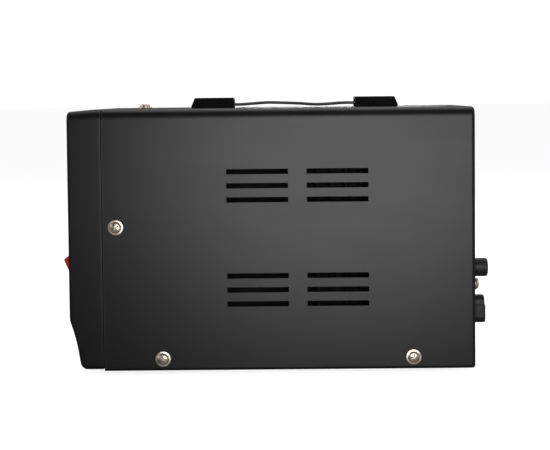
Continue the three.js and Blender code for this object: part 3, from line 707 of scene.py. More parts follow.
def scatter_tree():
    graph, start = group("place_copies", {"Copy": "Object", "Finish": "Material"})
    copy = graph.add("GeometryNodeObjectInfo", None, {"Object": start.output("Copy"), "As Instance": True})
    facing = graph.add("GeometryNodeInputNamedAttribute", {"data_type": "FLOAT_VECTOR"}, {"Name": "facing"})
    spin = graph.add("GeometryNodeInputNamedAttribute", {"data_type": "FLOAT"}, {"Name": "spin"})
    turn = graph.add("FunctionNodeAxisAngleToRotation", None, {"Axis": (0, 0, 1), "Angle": spin})
    aim = graph.add("FunctionNodeAlignRotationToVector", {"axis": "Z"}, {"Vector": facing})
    pose = graph.add("FunctionNodeRotateRotation", {"rotation_space": "LOCAL"}, {
        "Rotation": aim, "Rotate By": turn})
    placed = graph.add("GeometryNodeInstanceOnPoints", None, {
        "Points": start.output("Geometry"), "Instance": copy.output("Geometry"), "Rotation": pose})
    close(graph, placed, start.output("Finish"))
    return graph.tree


def punch_tree():
    graph, start = group("punch_slots", {
        "Centre": "Vector", "Slot": "Vector", "Columns": "Int", "Rows": "Int", "Column pitch": "Float",
        "Row pitch": "Float", "Turn": "Rotation", "Finish": "Material"})
    slot_box = graph.add("GeometryNodeMeshCube", None, {"Size": start.output("Slot")})
    wide = (start.output("Columns") - 1) * start.output("Column pitch")
    tall = (start.output("Rows") - 1) * start.output("Row pitch")
    spots = graph.add("GeometryNodeMeshGrid", None, {
        "Size X": wide, "Size Y": tall,
        "Vertices X": start.output("Columns"), "Vertices Y": start.output("Rows")})
    cutters = graph.add("GeometryNodeInstanceOnPoints", None, {"Points": spots, "Instance": slot_box})
    placed = graph.add("GeometryNodeTransform", None, {
        "Geometry": graph.add("GeometryNodeRealizeInstances", None, {"Geometry": cutters}),
        "Translation": start.output("Centre"), "Rotation": start.output("Turn")})
    sheet = graph.add("GeometryNodeMeshBoolean", {"operation": "DIFFERENCE", "solver": "EXACT"}, {
        "Mesh 1": start.output("Geometry"), "Mesh 2": placed})
    close(graph, sheet, start.output("Finish"))
    return graph.tree


TREES = {"scatter": scatter_tree(), "punch": punch_tree()}


def grow(piece, tree, **values):
    """Runs a geometry tree on a piece and keeps the result as its plain mesh."""
    modifier = piece.modifiers.new(tree, "NODES")
    modifier.node_group = TREES[tree]
    for item in TREES[tree].interface.items_tree:
        key = item.name.replace(" ", "_")
        if item.in_out == "INPUT" and key in values:
            modifier[item.identifier] = values[key]
    return weld(piece)


def copies(name, model, spots, finish):
    """One mesh of copies of `model`, at spots of (place in case mm, facing, spin in degrees)."""
    guide = mesh_object(name, [place for place, _, _ in spots], [])
    facing = guide.data.attributes.new("facing", "FLOAT_VECTOR", "POINT")
    facing.data.foreach_set("vector", [value for _, direction, _ in spots for value in direction])
    spin = guide.data.attributes.new("spin", "FLOAT", "POINT")
    spin.data.foreach_set("value", [math.radians(angle) for _, _, angle in spots])
    grow(guide, "scatter", Copy=model, Finish=FINISH[finish])
    bpy.data.objects.remove(model)
    return guide


# %% [markdown]
# ## The cover
#
# One sheet of 1.2 mm steel is punched with four banks of slots for each side and folded down. Its free
# edges are folded in again, a 6 mm flange all round the rear and the bottom, which is what makes such a
# thin box stiff. We model only the outer skin, as rings of points along the case: each ring is the same
# outline drawn a little smaller as the sheet turns the rear corner. Solidify then gives the sheet its
# thickness inwards.

# %% Cover skin
SHEET = 1.2
TOP_BEND = 6.0
LOW_BEND = 1.8
REAR_BEND = 2.2
FLANGE = 6.2
COVER_FRONT = (cover_low.y - bezel_low.y) / MM


def cover_ring(y, inset):
    """The cover's outline at one depth, from the left flange's edge over the top to the right one's."""
    half, top, low = HALF - inset, HEIGHT - inset, inset
    upper, lower = max(TOP_BEND - inset, 0.5), max(LOW_BEND - inset, 0.3)
    right = [(HALF - FLANGE, low), (half - lower - 0.2, low)]
    right += arc((half - lower, low + lower), lower, -90, 0, 5)
    right += [(half, low + lower + 0.3), (half, top / 2), (half, top - upper - 0.3)]
    right += arc((half - upper, top - upper), upper, 0, 90, 10)
    right += [(half - upper - 0.3, top), (half / 3, top)]
    left = [(-x, z) for x, z in reversed(right)]
    return [(x, y, z) for x, z in right + left]


def cover():
    rings = [cover_ring(COVER_FRONT, 0), cover_ring(COVER_FRONT + 0.4, 0), cover_ring(DEPTH / 2, 0)]
    rings.append(cover_ring(DEPTH - REAR_BEND - 0.3, 0))
    for step in range(9):
        angle = math.radians(step * 90 / 8)
        rear = DEPTH - REAR_BEND * (1 - math.sin(angle))
        rings.append(cover_ring(rear, REAR_BEND * (1 - math.cos(angle))))
    rings.append(cover_ring(DEPTH, REAR_BEND + 0.3))
    rings.append(cover_ring(DEPTH, FLANGE))
    skin = loft("cover_sheet", rings, closed=False)
    mesh = bmesh.new()
    mesh.from_mesh(skin.data)
    bmesh.ops.remove_doubles(mesh, verts=mesh.verts, dist=0.01 * MM)
    bmesh.ops.dissolve_degenerate(mesh, dist=0.01 * MM, edges=mesh.edges)
    outward = [face for face in mesh.faces if face.calc_center_median().x > 0.06]
    if sum(face.normal.x for face in outward) < 0:
        bmesh.ops.reverse_faces(mesh, faces=mesh.faces)
    mesh.to_mesh(skin.data)
    mesh.free()
    thickness = skin.modifiers.new("sheet", "SOLIDIFY")
    thickness.thickness = SHEET * MM
    thickness.offset = -1
    thickness.use_even_offset = True
    return weld(skin)


cover_sheet = cover()
print("cover skin", len(cover_sheet.data.vertices), "points")

# %% [markdown]
# The slots follow a rule: rows 9 mm apart, two columns, the same on both sides. So a tree lays out the
# cutters and takes them through both sides at once.

# %% Cover slots
VENT = {"length": 39.4, "height": 3.4, "pitch": 9.0, "middle": 146.7, "columns": 51.2}
VENT_BANKS = (118.4, 51.7)
for middle_row in VENT_BANKS:
    grow(cover_sheet, "punch",
         Centre=CASE @ Vector((0, VENT["middle"], middle_row)),
         Slot=(VENT["length"] * MM, VENT["height"] * MM, 3 * HALF * MM),
         Columns=2, Rows=3, Column_pitch=VENT["columns"] * MM, Row_pitch=VENT["pitch"] * MM,
         Turn=Matrix(((0, 0, 1), (1, 0, 0), (0, 1, 0))).to_euler(), Finish=FINISH["cover"])
soften(cover_sheet, 0.22, segments=2, angle=50)
even_shading(cover_sheet, 45)
settle(cover_sheet, "case", "cover_paint", "cover", "top_cover")

# %% [markdown]
# ## The bezel
#
# The front is a hood moulded in one piece. Its outline is the cover's outline, so we draw one ring of
# points round that outline and sweep it forwards: along the wall, round the front fillet, across the face
# to the opening, back through the opening and along the inside. Every ring has the same number of points,
# so the skin closes on itself. The lower face falls back in a long scoop; `front_face` gives its depth at
# any height, and each point of the face asks it where to lie.

# %% Bezel rings
BEZEL = {"rear": 21.7, "rise": 1.0, "drop": 1.1, "wall": 2.6, "lip": 23.4}
OPENING = {"half": 60.0, "low": 37.0, "high": 161.0}
SCOOP_TOP = 33.0
FRONT_ROUND = 1.8
TOE_ROUND = 4.2


def front_face(z):
    """How far behind the front rim the face lies at height z."""
    ease = 2.2                                  # mm over which the upright face turns into the scoop
    down = SCOOP_TOP - z
    if down < -ease:
        return 0.0
    if down < ease:
        return 0.36 * (down + ease) ** 2 / (4 * ease)
    return 0.36 * down - 0.0045 * down * down


def bezel_outline(half, low, high, low_radius, top_radius):
    """Points (x, z) round the outline, from the bottom middle to the right and back, with their normals."""
    right = [((half - low_radius) * i / 12, low, 0, -1) for i in range(12)]
    for i in range(7):
        a = math.radians(-90 + 15 * i)
        right.append((half - low_radius + low_radius * math.cos(a), low + low_radius * (1 + math.sin(a)),
                      math.cos(a), math.sin(a)))
    start, end = low + low_radius, high - top_radius
    shares = [0.24 * i / 26 for i in range(1, 27)] + [0.24 + 0.76 * i / 9 for i in range(1, 9)]
    right += [(half, start + (end - start) * share, 1, 0) for share in shares]
    for i in range(9):
        a = math.radians(11.25 * i)
        right.append((half - top_radius + top_radius * math.cos(a), end + top_radius * math.sin(a),
                      math.cos(a), math.sin(a)))
    right += [((half - top_radius) * (1 - i / 8), high, 0, 1) for i in range(1, 8)]
    left = [(-x, z, -nx, nz) for x, z, nx, nz in reversed(right[1:])]
    return right + [(0, high, 0, 1)] + left


def bezel():
    base = bezel_outline(HALF, BEZEL["rise"], HEIGHT, 3.0, TOP_BEND)
    rounds = [FRONT_ROUND + (TOE_ROUND - FRONT_ROUND) * (1 - smooth(z, 1.5, 9)) for _, z, _, _ in base]

    def lowered(z, y):
        """The top falls a little towards the front."""
        return z - BEZEL["drop"] * (1 - y / BEZEL["rear"]) * smooth(z, 120, HEIGHT)

    def wall_ring(y, inset):
        return [(x - nx * inset, y, lowered(z - nz * inset, y)) for x, z, nx, nz in base]

    def rolled_ring(angle, extra=0.0):
        ring = []
        for (x, z, nx, nz), radius in zip(base, rounds):
            inset = radius * (1 - math.cos(angle))
            high = z - nz * inset
            depth = front_face(high) + radius * (1 - math.sin(angle))
            ring.append((x - nx * inset, depth + extra, lowered(high, depth)))
        return ring

    def between(first, second, share, back=0.0):
        ring = []
        for a, b in zip(first, second):
            x, z = a[0] + (b[0] - a[0]) * share, a[2] + (b[2] - a[2]) * share
            ring.append((x, front_face(z) + back, z))
        return ring

    def opening_ring(grow_by, y):
        ring = bezel_outline(OPENING["half"] + grow_by, OPENING["low"] - grow_by, OPENING["high"] + grow_by,
                             1.0 + grow_by, 1.0 + grow_by)
        return [(x, y, z) for x, z, _, _ in ring]

    rings = [wall_ring(BEZEL["lip"], 1.6), wall_ring(BEZEL["rear"], 1.6), wall_ring(BEZEL["rear"], 0.45)]
    rings += [wall_ring(BEZEL["rear"] - 0.15, 0.12), wall_ring(BEZEL["rear"] - 0.45, 0.0)]
    rings += [wall_ring(y, 0.0) for y in (18.5, 15.0)]
    rings += [rolled_ring(math.radians(7.5 * i)) for i in range(13)]
    face_start = rings[-1]
    rim = 0.6
    rings += [between(face_start, opening_ring(rim, 0), i / 24) for i in range(1, 25)]
    rings += [opening_ring(rim * (1 - math.sin(a)), rim * (1 - math.cos(a)))
              for a in (math.radians(22.5 * i) for i in range(1, 5))]
    rings.append(opening_ring(0, BEZEL["wall"]))
    inner = wall_ring(0, BEZEL["wall"])
    rings += [between(opening_ring(0, 0), inner, i / 8, BEZEL["wall"]) for i in range(1, 9)]
    rings += [wall_ring(14.0, BEZEL["wall"]), wall_ring(BEZEL["lip"], BEZEL["wall"])]
    return right_way_out(loft("bezel", rings, joined=True))


front_hood = bezel()
print("bezel", len(front_hood.data.polygons), "faces before the socket seats")

# %% [markdown]
# The three sockets stand square to the scoop, so each has a round seat milled into it.

# %% Socket seats
POLES = ("positive", "ground", "negative")
SOCKET_X = [(low.x + high.x) / 2 for low, high in (case_box(f"output_socket_{pole}") for pole in POLES)]
SOCKET_LEAN = math.radians(13.5)
SOCKET_OUT = Vector((0, -math.cos(SOCKET_LEAN), -math.sin(SOCKET_LEAN)))
SOCKET_MIDDLE = (4.0, 19.5)


def on_socket_axis(x, out):
    """A point `out` mm in front of the sloping face on a socket's axis."""
    y, z = SOCKET_MIDDLE
    return Vector((x, y, z)) + SOCKET_OUT * out


for x in SOCKET_X:
    cut(front_hood, turned("seat", [(0, -8), (5.6, -8), (5.6, 0), (7.2, 0), (7.2, 6), (0, 6)],
                           on_socket_axis(x, 0), SOCKET_OUT))
even_shading(front_hood, 40)
settle(front_hood, "case", "bezel_plastic", "bezel", "front_bezel")

# %% [markdown]
# ## Cover screws
#
# A pan head with a collar, and a cross recess. One screw is turned and cut, then the tree puts a copy at
# each of the seven places that the frame gives, each with its cross left at its own angle, as a real
# screwdriver leaves it.

# %% Seven screws from one


def cross_screw(name, profile, top, reach, width, depth):
    """A turned head with a tapered cross recess; it stands on the origin and points up."""
    head = turned(name, profile, steps=40, place=False)
    for turn in (0, 90):
        arm = [(-reach, top + 0.2), (reach, top + 0.2), (width, top - depth), (-width, top - depth)]
        blade = pressed("arm", arm, -width / 2, width / 2, "Y", place=False)
        blade.data.transform(Matrix.Rotation(math.radians(turn), 4, "Z"))
        cut(head, blade)
    head.data.transform(Matrix.Scale(MM, 4))
    return even_shading(head, 32)


COLLAR_SCREW = [(0, -1), (4.6, -1), (4.6, 0.05), (4.9, 0.12), (5.0, 0.35), (4.92, 0.72), (4.6, 0.92),
                (3.75, 0.98), (3.6, 1.15), (3.58, 1.7), (3.3, 2.25), (2.7, 2.66), (1.8, 2.92), (0.9, 3.0),
                (0, 3.02)]
SIDES = ("left", "right")
PLACES = ("front", "lower_front", "lower_rear")
COVER_SCREWS = [f"cover_screw_{side}_{place}" for side in SIDES for place in PLACES] + ["cover_screw_top"]
SPINS = (12, 40, 71, 24, 8, 83, 33)


def screw_seat(node):
    """Where a screw's head meets the sheet, and which way it points."""
    low, high = case_box(node)
    middle = (low + high) / 2
    if node.endswith("top"):
        return (middle.x, middle.y, HEIGHT), (0, 0, 1)
    side = 1 if middle.x > 0 else -1
    return (side * HALF, middle.y, middle.z), (side, 0, 0)


screw_model = cross_screw("screw_model", COLLAR_SCREW, top=3.0, reach=2.55, width=0.95, depth=1.9)
spots = [(*screw_seat(node), spin) for node, spin in zip(COVER_SCREWS, SPINS)]
cover_screws = copies("cover_screws", screw_model, spots, "nickel")
settle(cover_screws, "case", "screw_nickel", "nickel", *COVER_SCREWS, edges=False)

# %% [markdown]
# ## The handle
#
# Two moulded caps hold the ends of a rubber-covered strap. A cap is a block whose outer end slopes; its
# inner end is open, so that the strap can slide in as the handle is lifted. The strap itself never lies
# quite flat: it keeps the wave it was carried with. One function gives its height along the case, and four
# lengths are cut from it.

# %% Handle caps
HANDLE = {"middle": 146.0, "gap": 40.4, "cap": 28.6, "slope": 2.4, "height": 6.8, "half": 14.0}
STRAP_HALF = 10.0


def handle_cap(name, way):
    inner, outer = HANDLE["gap"], HANDLE["gap"] + HANDLE["cap"]
    deck, top = HEIGHT + 0.05, HEIGHT + HANDLE["height"]
    shape = [(inner, deck), (outer, deck), (outer, deck + 1.1), (outer - HANDLE["slope"], top), (inner, top)]
    shape = [(HANDLE["middle"] + way * distance, z) for distance, z in shape]
    cap = pressed(name, shape, -HANDLE["half"], HANDLE["half"], "X")
    soften(cap, 0.7, segments=4, angle=30)
    reach = sorted(HANDLE["middle"] + way * d for d in (inner - 2, inner + 20))
    mouth = block("mouth", (-STRAP_HALF - 0.5, reach[0], deck - 1), (STRAP_HALF + 0.5, reach[1], top - 1.7))
    chamber = sorted(HANDLE["middle"] + way * d for d in (inner + 2, inner + 20.5))
    hollow = block("hollow", (-12.3, chamber[0], deck - 1), (12.3, chamber[1], top - 1.7))
    cut(cap, mouth, hollow)
    return even_shading(soften(cap, 0.15, segments=2, angle=60), 30)


for name, way in (("handle_cap_front", -1), ("handle_cap_rear", 1)):
    settle(handle_cap(f"{name}_moulding", way), "case", "bezel_plastic", "cap", name)

# %% The strap's wave, section and four lengths
WAVE = ((90, 2.4), (104, 2.3), (109, 2.2), (118, 2.75), (128, 3.35), (139, 3.05), (150, 2.55), (157, 2.0),
        (162, 1.85), (169, 2.1), (178, 2.7), (186, 2.7), (192, 2.45), (202, 2.4))


def strap_height(y):
    """The strap's middle above the case's top, smooth through the points of WAVE."""
    last = len(WAVE) - 2
    i = next((i for i in range(last) if y <= WAVE[i + 1][0]), last)
    (y0, h0), (y1, h1) = WAVE[i], WAVE[i + 1]
    before, after = WAVE[max(i - 1, 0)], WAVE[min(i + 2, last + 1)]
    slope0 = (h1 - before[1]) / (y1 - before[0])
    slope1 = (after[1] - h0) / (after[0] - y0)
    t, span = (y - y0) / (y1 - y0), y1 - y0
    return ((2 * t ** 3 - 3 * t ** 2 + 1) * h0 + (t ** 3 - 2 * t ** 2 + t) * span * slope0
            + (3 * t ** 2 - 2 * t ** 3) * h1 + (t ** 3 - t ** 2) * span * slope1)


def strap_section(half, edge=0.95, web=0.7):
    """Beads along both edges, a thinner web between, and four fine ribs to hold on by."""
    top = []
    for i in range(57):
        x = half * (1 - 2 * i / 56)
        out = half - abs(x)
        bead = edge * math.sqrt(max(0.0, 1 - (1 - out / edge) ** 2)) if out < edge else edge
        body = bead + (web - edge) * smooth(out, 1.2, 2.6)
        rib = 0.22 * max(0.0, math.cos(x * math.pi / 1.9)) ** 2 * (1 - smooth(abs(x), 5.2, 6.2))
        top.append((x, body + rib))
    return top + [(x, -h) for x, h in reversed(top[1:-1])]


def strap_length(name, start, end, head=None):
    """A length of strap from start to end; head = (from, to) is where it widens inside its cap."""
    steps = max(8, int((end - start) / 0.9))
    rings = []
    for i in range(steps + 1):
        y = start + (end - start) * i / steps
        half = STRAP_HALF + (1.8 if head and head[0] <= y <= head[1] else 0)
        slope = (strap_height(y + 0.2) - strap_height(y - 0.2)) / 0.4
        tilt = math.atan(slope)
        middle = HEIGHT + strap_height(y)
        section = strap_section(half)
        rings.append([(x, y - h * math.sin(tilt), middle + h * math.cos(tilt)) for x, h in section])
    return even_shading(right_way_out(loft(name, rings, caps=True)), 45)


STRAP_LENGTHS = (
    ("strap_front_end", 92.4, 123.5, (92, 97), "strap_end_front", "strap_link_front", "strap_level_front",
     ("strap_end_front",)),
    ("strap_front_half", 123.5, 146.0, None, "strap_link_front", "strap_grip", "strap_fold_front",
     ("strap_link_front", "strap_grip")),
    ("strap_rear_half", 146.0, 168.5, None, "strap_grip", "strap_link_rear", "strap_fold_rear",
     ("strap_link_rear",)),
    ("strap_rear_end", 168.5, 199.6, (195, 200), "strap_link_rear", "strap_end_rear", "strap_level_rear",
     ("strap_end_rear",)),
)
for name, start, end, head, first, second, joint, nodes in STRAP_LENGTHS:
    length = strap_length(name, start, end, head)
    length.data.materials.append(FINISH["strap"])
    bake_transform(length)
    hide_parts(*nodes)

# %% [markdown]
# ## The rear edge
#
# Three things stand out behind: the ribbed cap of the fuse holder, the earth screw on its washers, and the
# split cord gland. They are small, but in a side view they are the whole silhouette of the rear edge. Ribs
# are copies: the `array` tree repeats a piece, moving and twisting each copy by the same step.

# %% A third tree: copies in a row or round an axis


def array_tree():
    graph, start = group("array", {
        "Copy": "Object", "Count": "Int", "Step": "Vector", "Twist": "Float", "Centre": "Vector",
        "Turn": "Rotation", "Finish": "Material"})
    number = graph.add("GeometryNodeInputIndex")
    offset = graph.add("ShaderNodeVectorMath", {"operation": "SCALE"}, {
        "Vector": start.output("Step"), "Scale": number})
    spots = graph.add("GeometryNodePoints", None, {"Count": start.output("Count"), "Position": offset})
    angle = number * start.output("Twist")
    turn = graph.add("FunctionNodeAxisAngleToRotation", None, {"Axis": (0, 0, 1), "Angle": angle})
    model = graph.add("GeometryNodeObjectInfo", None, {"Object": start.output("Copy"), "As Instance": True})
    placed = graph.add("GeometryNodeInstanceOnPoints", None, {
        "Points": spots, "Instance": model.output("Geometry"), "Rotation": turn})
    moved = graph.add("GeometryNodeTransform", None, {
        "Geometry": graph.add("GeometryNodeRealizeInstances", None, {"Geometry": placed}),
        "Translation": start.output("Centre"), "Rotation": start.output("Turn")})
    both = graph.tree.nodes.new("GeometryNodeJoinGeometry")
    graph.tree.links.new(moved.socket, both.inputs[0])
    graph.tree.links.new(start.output("Geometry").socket, both.inputs[0])
    close(graph, Wire(graph, both.outputs[0]), start.output("Finish"))
    return graph.tree


TREES["array"] = array_tree()
FACING = {"-Y": (math.pi / 2, 0, 0), "+Y": (-math.pi / 2, 0, 0), "+Z": (0, 0, 0)}


def array(piece, model, count, centre, finish, step=(0, 0, 0), twist=0.0, facing="+Z", turn=None):
    """Adds copies of `model` (drawn in mm about the origin) to a piece."""
    model.data.transform(Matrix.Scale(MM, 4))
    grow(piece, "array", Copy=model, Count=count, Step=tuple(value * MM for value in step),
         Twist=math.radians(twist), Centre=CASE @ Vector(centre), Turn=turn or FACING[facing],
         Finish=FINISH[finish])
    bpy.data.objects.remove(model)
    return piece


# %% Fuse holder, its cap and its fuse
PORT_X, FUSE_Z, PANEL_FACE = 51.0, 63.5, 258.5
REARWARD = (0, 1, 0)

COLLAR = [(3.6, -26), (5.1, -26), (5.1, -0.1), (6.5, 0.05), (6.5, 1.3), (6.2, 1.75), (3.6, 1.85), (3.6, -26)]
NUT = [(5.25, -4.8), (8.2, -4.8), (8.6, -4.4), (8.6, -2.2), (8.2, -1.8), (5.25, -1.8), (5.25, -4.8)]
fuse_collar = turned("fuse_collar", COLLAR, (PORT_X, PANEL_FACE, FUSE_Z), REARWARD)
fuse_nut = turned("fuse_nut", NUT, (PORT_X, PANEL_FACE, FUSE_Z), REARWARD, steps=6)
barrel = even_shading(join("fuse_holder_barrel", fuse_collar, fuse_nut))
settle(barrel, "case", "fitting_plastic", "fitting", "fuse_holder")

cap_low, cap_high = case_box("fuse_cap")
cap_deep = cap_high.y - cap_low.y
cap_profile = [(0, 0), (5.7, 0), (5.95, 0.3), (5.95, cap_deep - 1.2), (5.6, cap_deep - 0.5),
               (4.9, cap_deep - 0.05), (4.5, cap_deep), (0, cap_deep)]
fuse_knob = turned("fuse_knob", cap_profile, (PORT_X, cap_low.y, FUSE_Z), REARWARD)
cut(fuse_knob, block("slot", (PORT_X - 4.4, cap_high.y - 1.5, FUSE_Z - 0.6),
                     (PORT_X + 4.4, cap_high.y + 1, FUSE_Z + 0.6)))
even_shading(fuse_knob, 32)
rib = rounded_block("rib", (5.6, -0.3, 0.5), (6.28, 0.3, cap_deep - 1.3), 0.18)
array(fuse_knob, rib, 24, (PORT_X, cap_low.y, FUSE_Z), "fitting", twist=15, facing="-Y")
settle(fuse_knob, "fuse_cap", "fitting_plastic", "fitting", "fuse_cap")

# %% Earth screw: a nickel pan head over a spring washer and a broad flat washer
EARTH = (46.0, PANEL_FACE, 52.3)
FLAT = [(2.1, 0.02), (4.5, 0.02), (4.6, 0.15), (4.6, 0.75), (4.5, 0.9), (2.1, 0.9), (2.1, 0.02)]
SPRING = [(2.1, 0.95), (3.7, 0.95), (3.8, 1.1), (3.8, 1.75), (3.7, 1.9), (2.1, 1.9), (2.1, 0.95)]
flat_washer = turned("flat_washer", FLAT, EARTH, REARWARD)
spring_washer = turned("spring_washer", SPRING, EARTH, REARWARD)
gap = block("gap", (EARTH[0] - 0.25, PANEL_FACE + 0.92, EARTH[2] + 2),
            (EARTH[0] + 0.25, PANEL_FACE + 2, EARTH[2] + 5))
cut(spring_washer, gap)
PAN = [(0, -8), (1.9, -8), (1.9, 1.95), (3.8, 1.95), (4.0, 2.15), (4.0, 3.3), (3.75, 4.3), (3.2, 5.1),
       (2.3, 5.6), (1.2, 5.8), (0, 5.85)]
pan_head = cross_screw("pan_head", PAN, top=5.85, reach=2.2, width=0.65, depth=1.8)
pan_copy = copies("pan_screw", pan_head, [(EARTH, REARWARD, 20)], "nickel")
even_shading(flat_washer)
even_shading(spring_washer)
terminal = join("earth_terminal", flat_washer, spring_washer, pan_copy)
settle(terminal, "case", "screw_nickel", "nickel", "earth_screw", edges=False)

# %% Cord gland, in its two halves
GLAND = {"low": 28.0, "high": 45.8, "split": 39.9, "half": 7.5, "out": 7.2, "bore": 4.1, "middle": 36.9}


def gland_part(name, low, high, out, lip):
    """The head behind the panel and the neck through it, between two heights."""
    head = upright(name, (PORT_X - GLAND["half"], PANEL_FACE + 0.1, GLAND["low"]),
                   (PORT_X + GLAND["half"], DEPTH + out, GLAND["high"]), 4.4, 8)
    soften(head, 0.9, segments=4, angle=40)
    neck = block("neck", (PORT_X - 6, PANEL_FACE - 9, GLAND["low"] + 1.6),
                 (PORT_X + 6, PANEL_FACE + 0.4, GLAND["high"] - 1.6))
    combine(head, neck, "UNION")
    radius = GLAND["bore"]
    profile = [(0, -12), (radius, -12), (radius, 7.2), (radius + 1.6, 12), (0, 12)]
    bore = turned("bore", profile, (PORT_X, PANEL_FACE, GLAND["middle"]), REARWARD, steps=40)
    below = block("below", (30, 240, low - 30), (70, 280, low))
    above = block("above", (30, 240, high), (70, 280, high + 30))
    cut(head, bore, below, above)
    if lip:
        for side in (-1, 1):
            x = PORT_X + side * 5.2
            cut(head, block("finger_step", (min(x, x + side * 4), DEPTH + 3.2, high - 1.3),
                            (max(x, x + side * 4), DEPTH + out + 1, high + 1)))
    return even_shading(soften(head, 0.18, segments=2, angle=50), 32)


gland_lower = gland_part("gland_lower", 20, GLAND["split"] - 0.12, GLAND["out"], lip=False)
gland_upper = gland_part("gland_upper", GLAND["split"] + 0.12, 60, GLAND["out"] - 0.6, lip=True)
settle(gland_lower, "case", "fitting_plastic", "fitting", "gland_body")
settle(gland_upper, "case", "fitting_plastic", "fitting", "gland_wedge")

# %% [markdown]
# ## Rear panel and fan
#
# The panel is a flat plate inside the cover's rear flange. The fan behind it is seven twisted blades on a
# hub, and the guard is four rings of wire on four spokes. Blades and spokes are drawn once and repeated by
# the array tree.

# %% Rear panel
FAN = {"x": -20.0, "z": 116.0, "half": 30.0, "hole": 27.5, "pitch": 25.0, "front": 236.7, "deep": 20}
rear_low, rear_high = case_box("rear_panel")
rear_plate = upright("rear_plate", rear_low, (rear_high.x, PANEL_FACE, rear_high.z), 4.0, 5)


def drill(piece, radius, x, z, low=250, high=262, steps=32):
    """A round hole along y, from low to high."""
    profile = [(0, 0), (radius, 0), (radius, high - low), (0, high - low)]
    cut(piece, turned("drill", profile, (x, low, z), REARWARD, steps=steps))


drill(rear_plate, FAN["hole"], FAN["x"], FAN["z"], steps=72)
drill(rear_plate, 5.4, PORT_X, FUSE_Z)
drill(rear_plate, 2.3, EARTH[0], EARTH[2])
CORNERS = [(FAN["x"] + sx * FAN["pitch"], FAN["z"] + sz * FAN["pitch"])
           for sx, sz in ((-1, -1), (1, -1), (1, 1), (-1, 1))]
for x, z in CORNERS:
    drill(rear_plate, 2.0, x, z)
cut(rear_plate, block("gland_hole", (PORT_X - 6.3, 250, 29.3), (PORT_X + 6.3, 262, 44.5)))
soften(rear_plate, 0.2, segments=2, angle=50)
settle(even_shading(rear_plate), "case", "rear_paint", "rear", "rear_panel")

# %% Fan frame
FAN_REAR = FAN["front"] + FAN["deep"]
fan_frame = upright("fan_housing", (FAN["x"] - FAN["half"], FAN["front"], FAN["z"] - FAN["half"]),
                    (FAN["x"] + FAN["half"], FAN_REAR, FAN["z"] + FAN["half"]), 4, 6)
DUCT = [(0, -1), (29.2, -1), (29.0, 1.5), (28.4, 4), (28.4, 16), (29.0, 18.5), (29.2, 21), (0, 21)]
cut(fan_frame, turned("duct", DUCT, (FAN["x"], FAN["front"], FAN["z"]), REARWARD, steps=72))
for x, z in CORNERS:
    drill(fan_frame, 1.9, x, z, FAN["front"] - 1, FAN_REAR + 1, 20)
soften(fan_frame, 0.4, segments=2, angle=50)
hub_plate = turned("hub_plate", [(0, 0), (12, 0), (12, 2.0), (11.6, 2.4), (0, 2.4)],
                   (FAN["x"], FAN["front"] + 0.02, FAN["z"]), REARWARD)
even_shading(fan_frame)
even_shading(hub_plate)
strut = rounded_block("strut", (11.5, -1.5, 0.05), (28.9, 1.5, 2.3), 0.3)
array(hub_plate, strut, 4, (FAN["x"], FAN["front"], FAN["z"]), "fan", twist=90,
      turn=(-math.pi / 2, math.pi / 4, 0))
settle(join("fan_frame_moulding", fan_frame, hub_plate), "case", "fan_plastic", "fan", "fan_frame")


# %% Fan rotor: a hub and seven twisted blades
def fan_blade():
    """One blade standing on the hub: wide, thin, cambered, and steeper at its root than at its tip."""
    root, tip = 11.8, 27.2
    rings = []
    for i in range(13):
        radius = root + (tip - root) * i / 12
        pitch = math.radians(52 - 18 * i / 12)
        half = 5.8 + 1.2 * i / 12 - (1.6 if i == 12 else 0)
        sweep = math.radians(7) * (i / 12) ** 1.5
        ring = []
        for k in range(20):
            a = 2 * math.pi * k / 20
            along, thick = half * math.cos(a), 0.55 * math.sin(a)
            camber = 1.1 * (1 - (along / half) ** 2)
            u = along * math.cos(pitch) - (thick + camber) * math.sin(pitch)
            v = along * math.sin(pitch) + (thick + camber) * math.cos(pitch)
            turn = u / radius + sweep
            ring.append((radius * math.cos(turn), radius * math.sin(turn), v))
        rings.append(ring)
    return even_shading(right_way_out(loft("blade", rings, caps=True, place=False)), 50)


ROTOR_Y = FAN["front"] + 3.2
HUB = [(0, 0.2), (9, 0.2), (12.0, 0.2), (12.5, 0.7), (12.5, 14.6), (12.2, 15.2), (11.6, 15.5), (7.5, 15.5),
       (7.2, 15.25), (0, 15.25)]
hub = turned("fan_wheel", HUB, (FAN["x"], ROTOR_Y, FAN["z"]), REARWARD, steps=64)
even_shading(hub, 30)
BLADES = 7
array(hub, fan_blade(), BLADES, (FAN["x"], ROTOR_Y + 7.7, FAN["z"]), "fan", twist=360 / BLADES, facing="+Y")
settle(hub, "fan", "fan_plastic", "fan", "fan_rotor")


# %% Finger guard and its screws
def wire_ring(name, radius, wire, y, steps=72):
    profile = [(radius + wire * math.cos(a), wire * math.sin(a))
               for a in (math.radians(30 * i) for i in range(13))]
    return turned(name, profile, (FAN["x"], y, FAN["z"]), REARWARD, steps=steps)


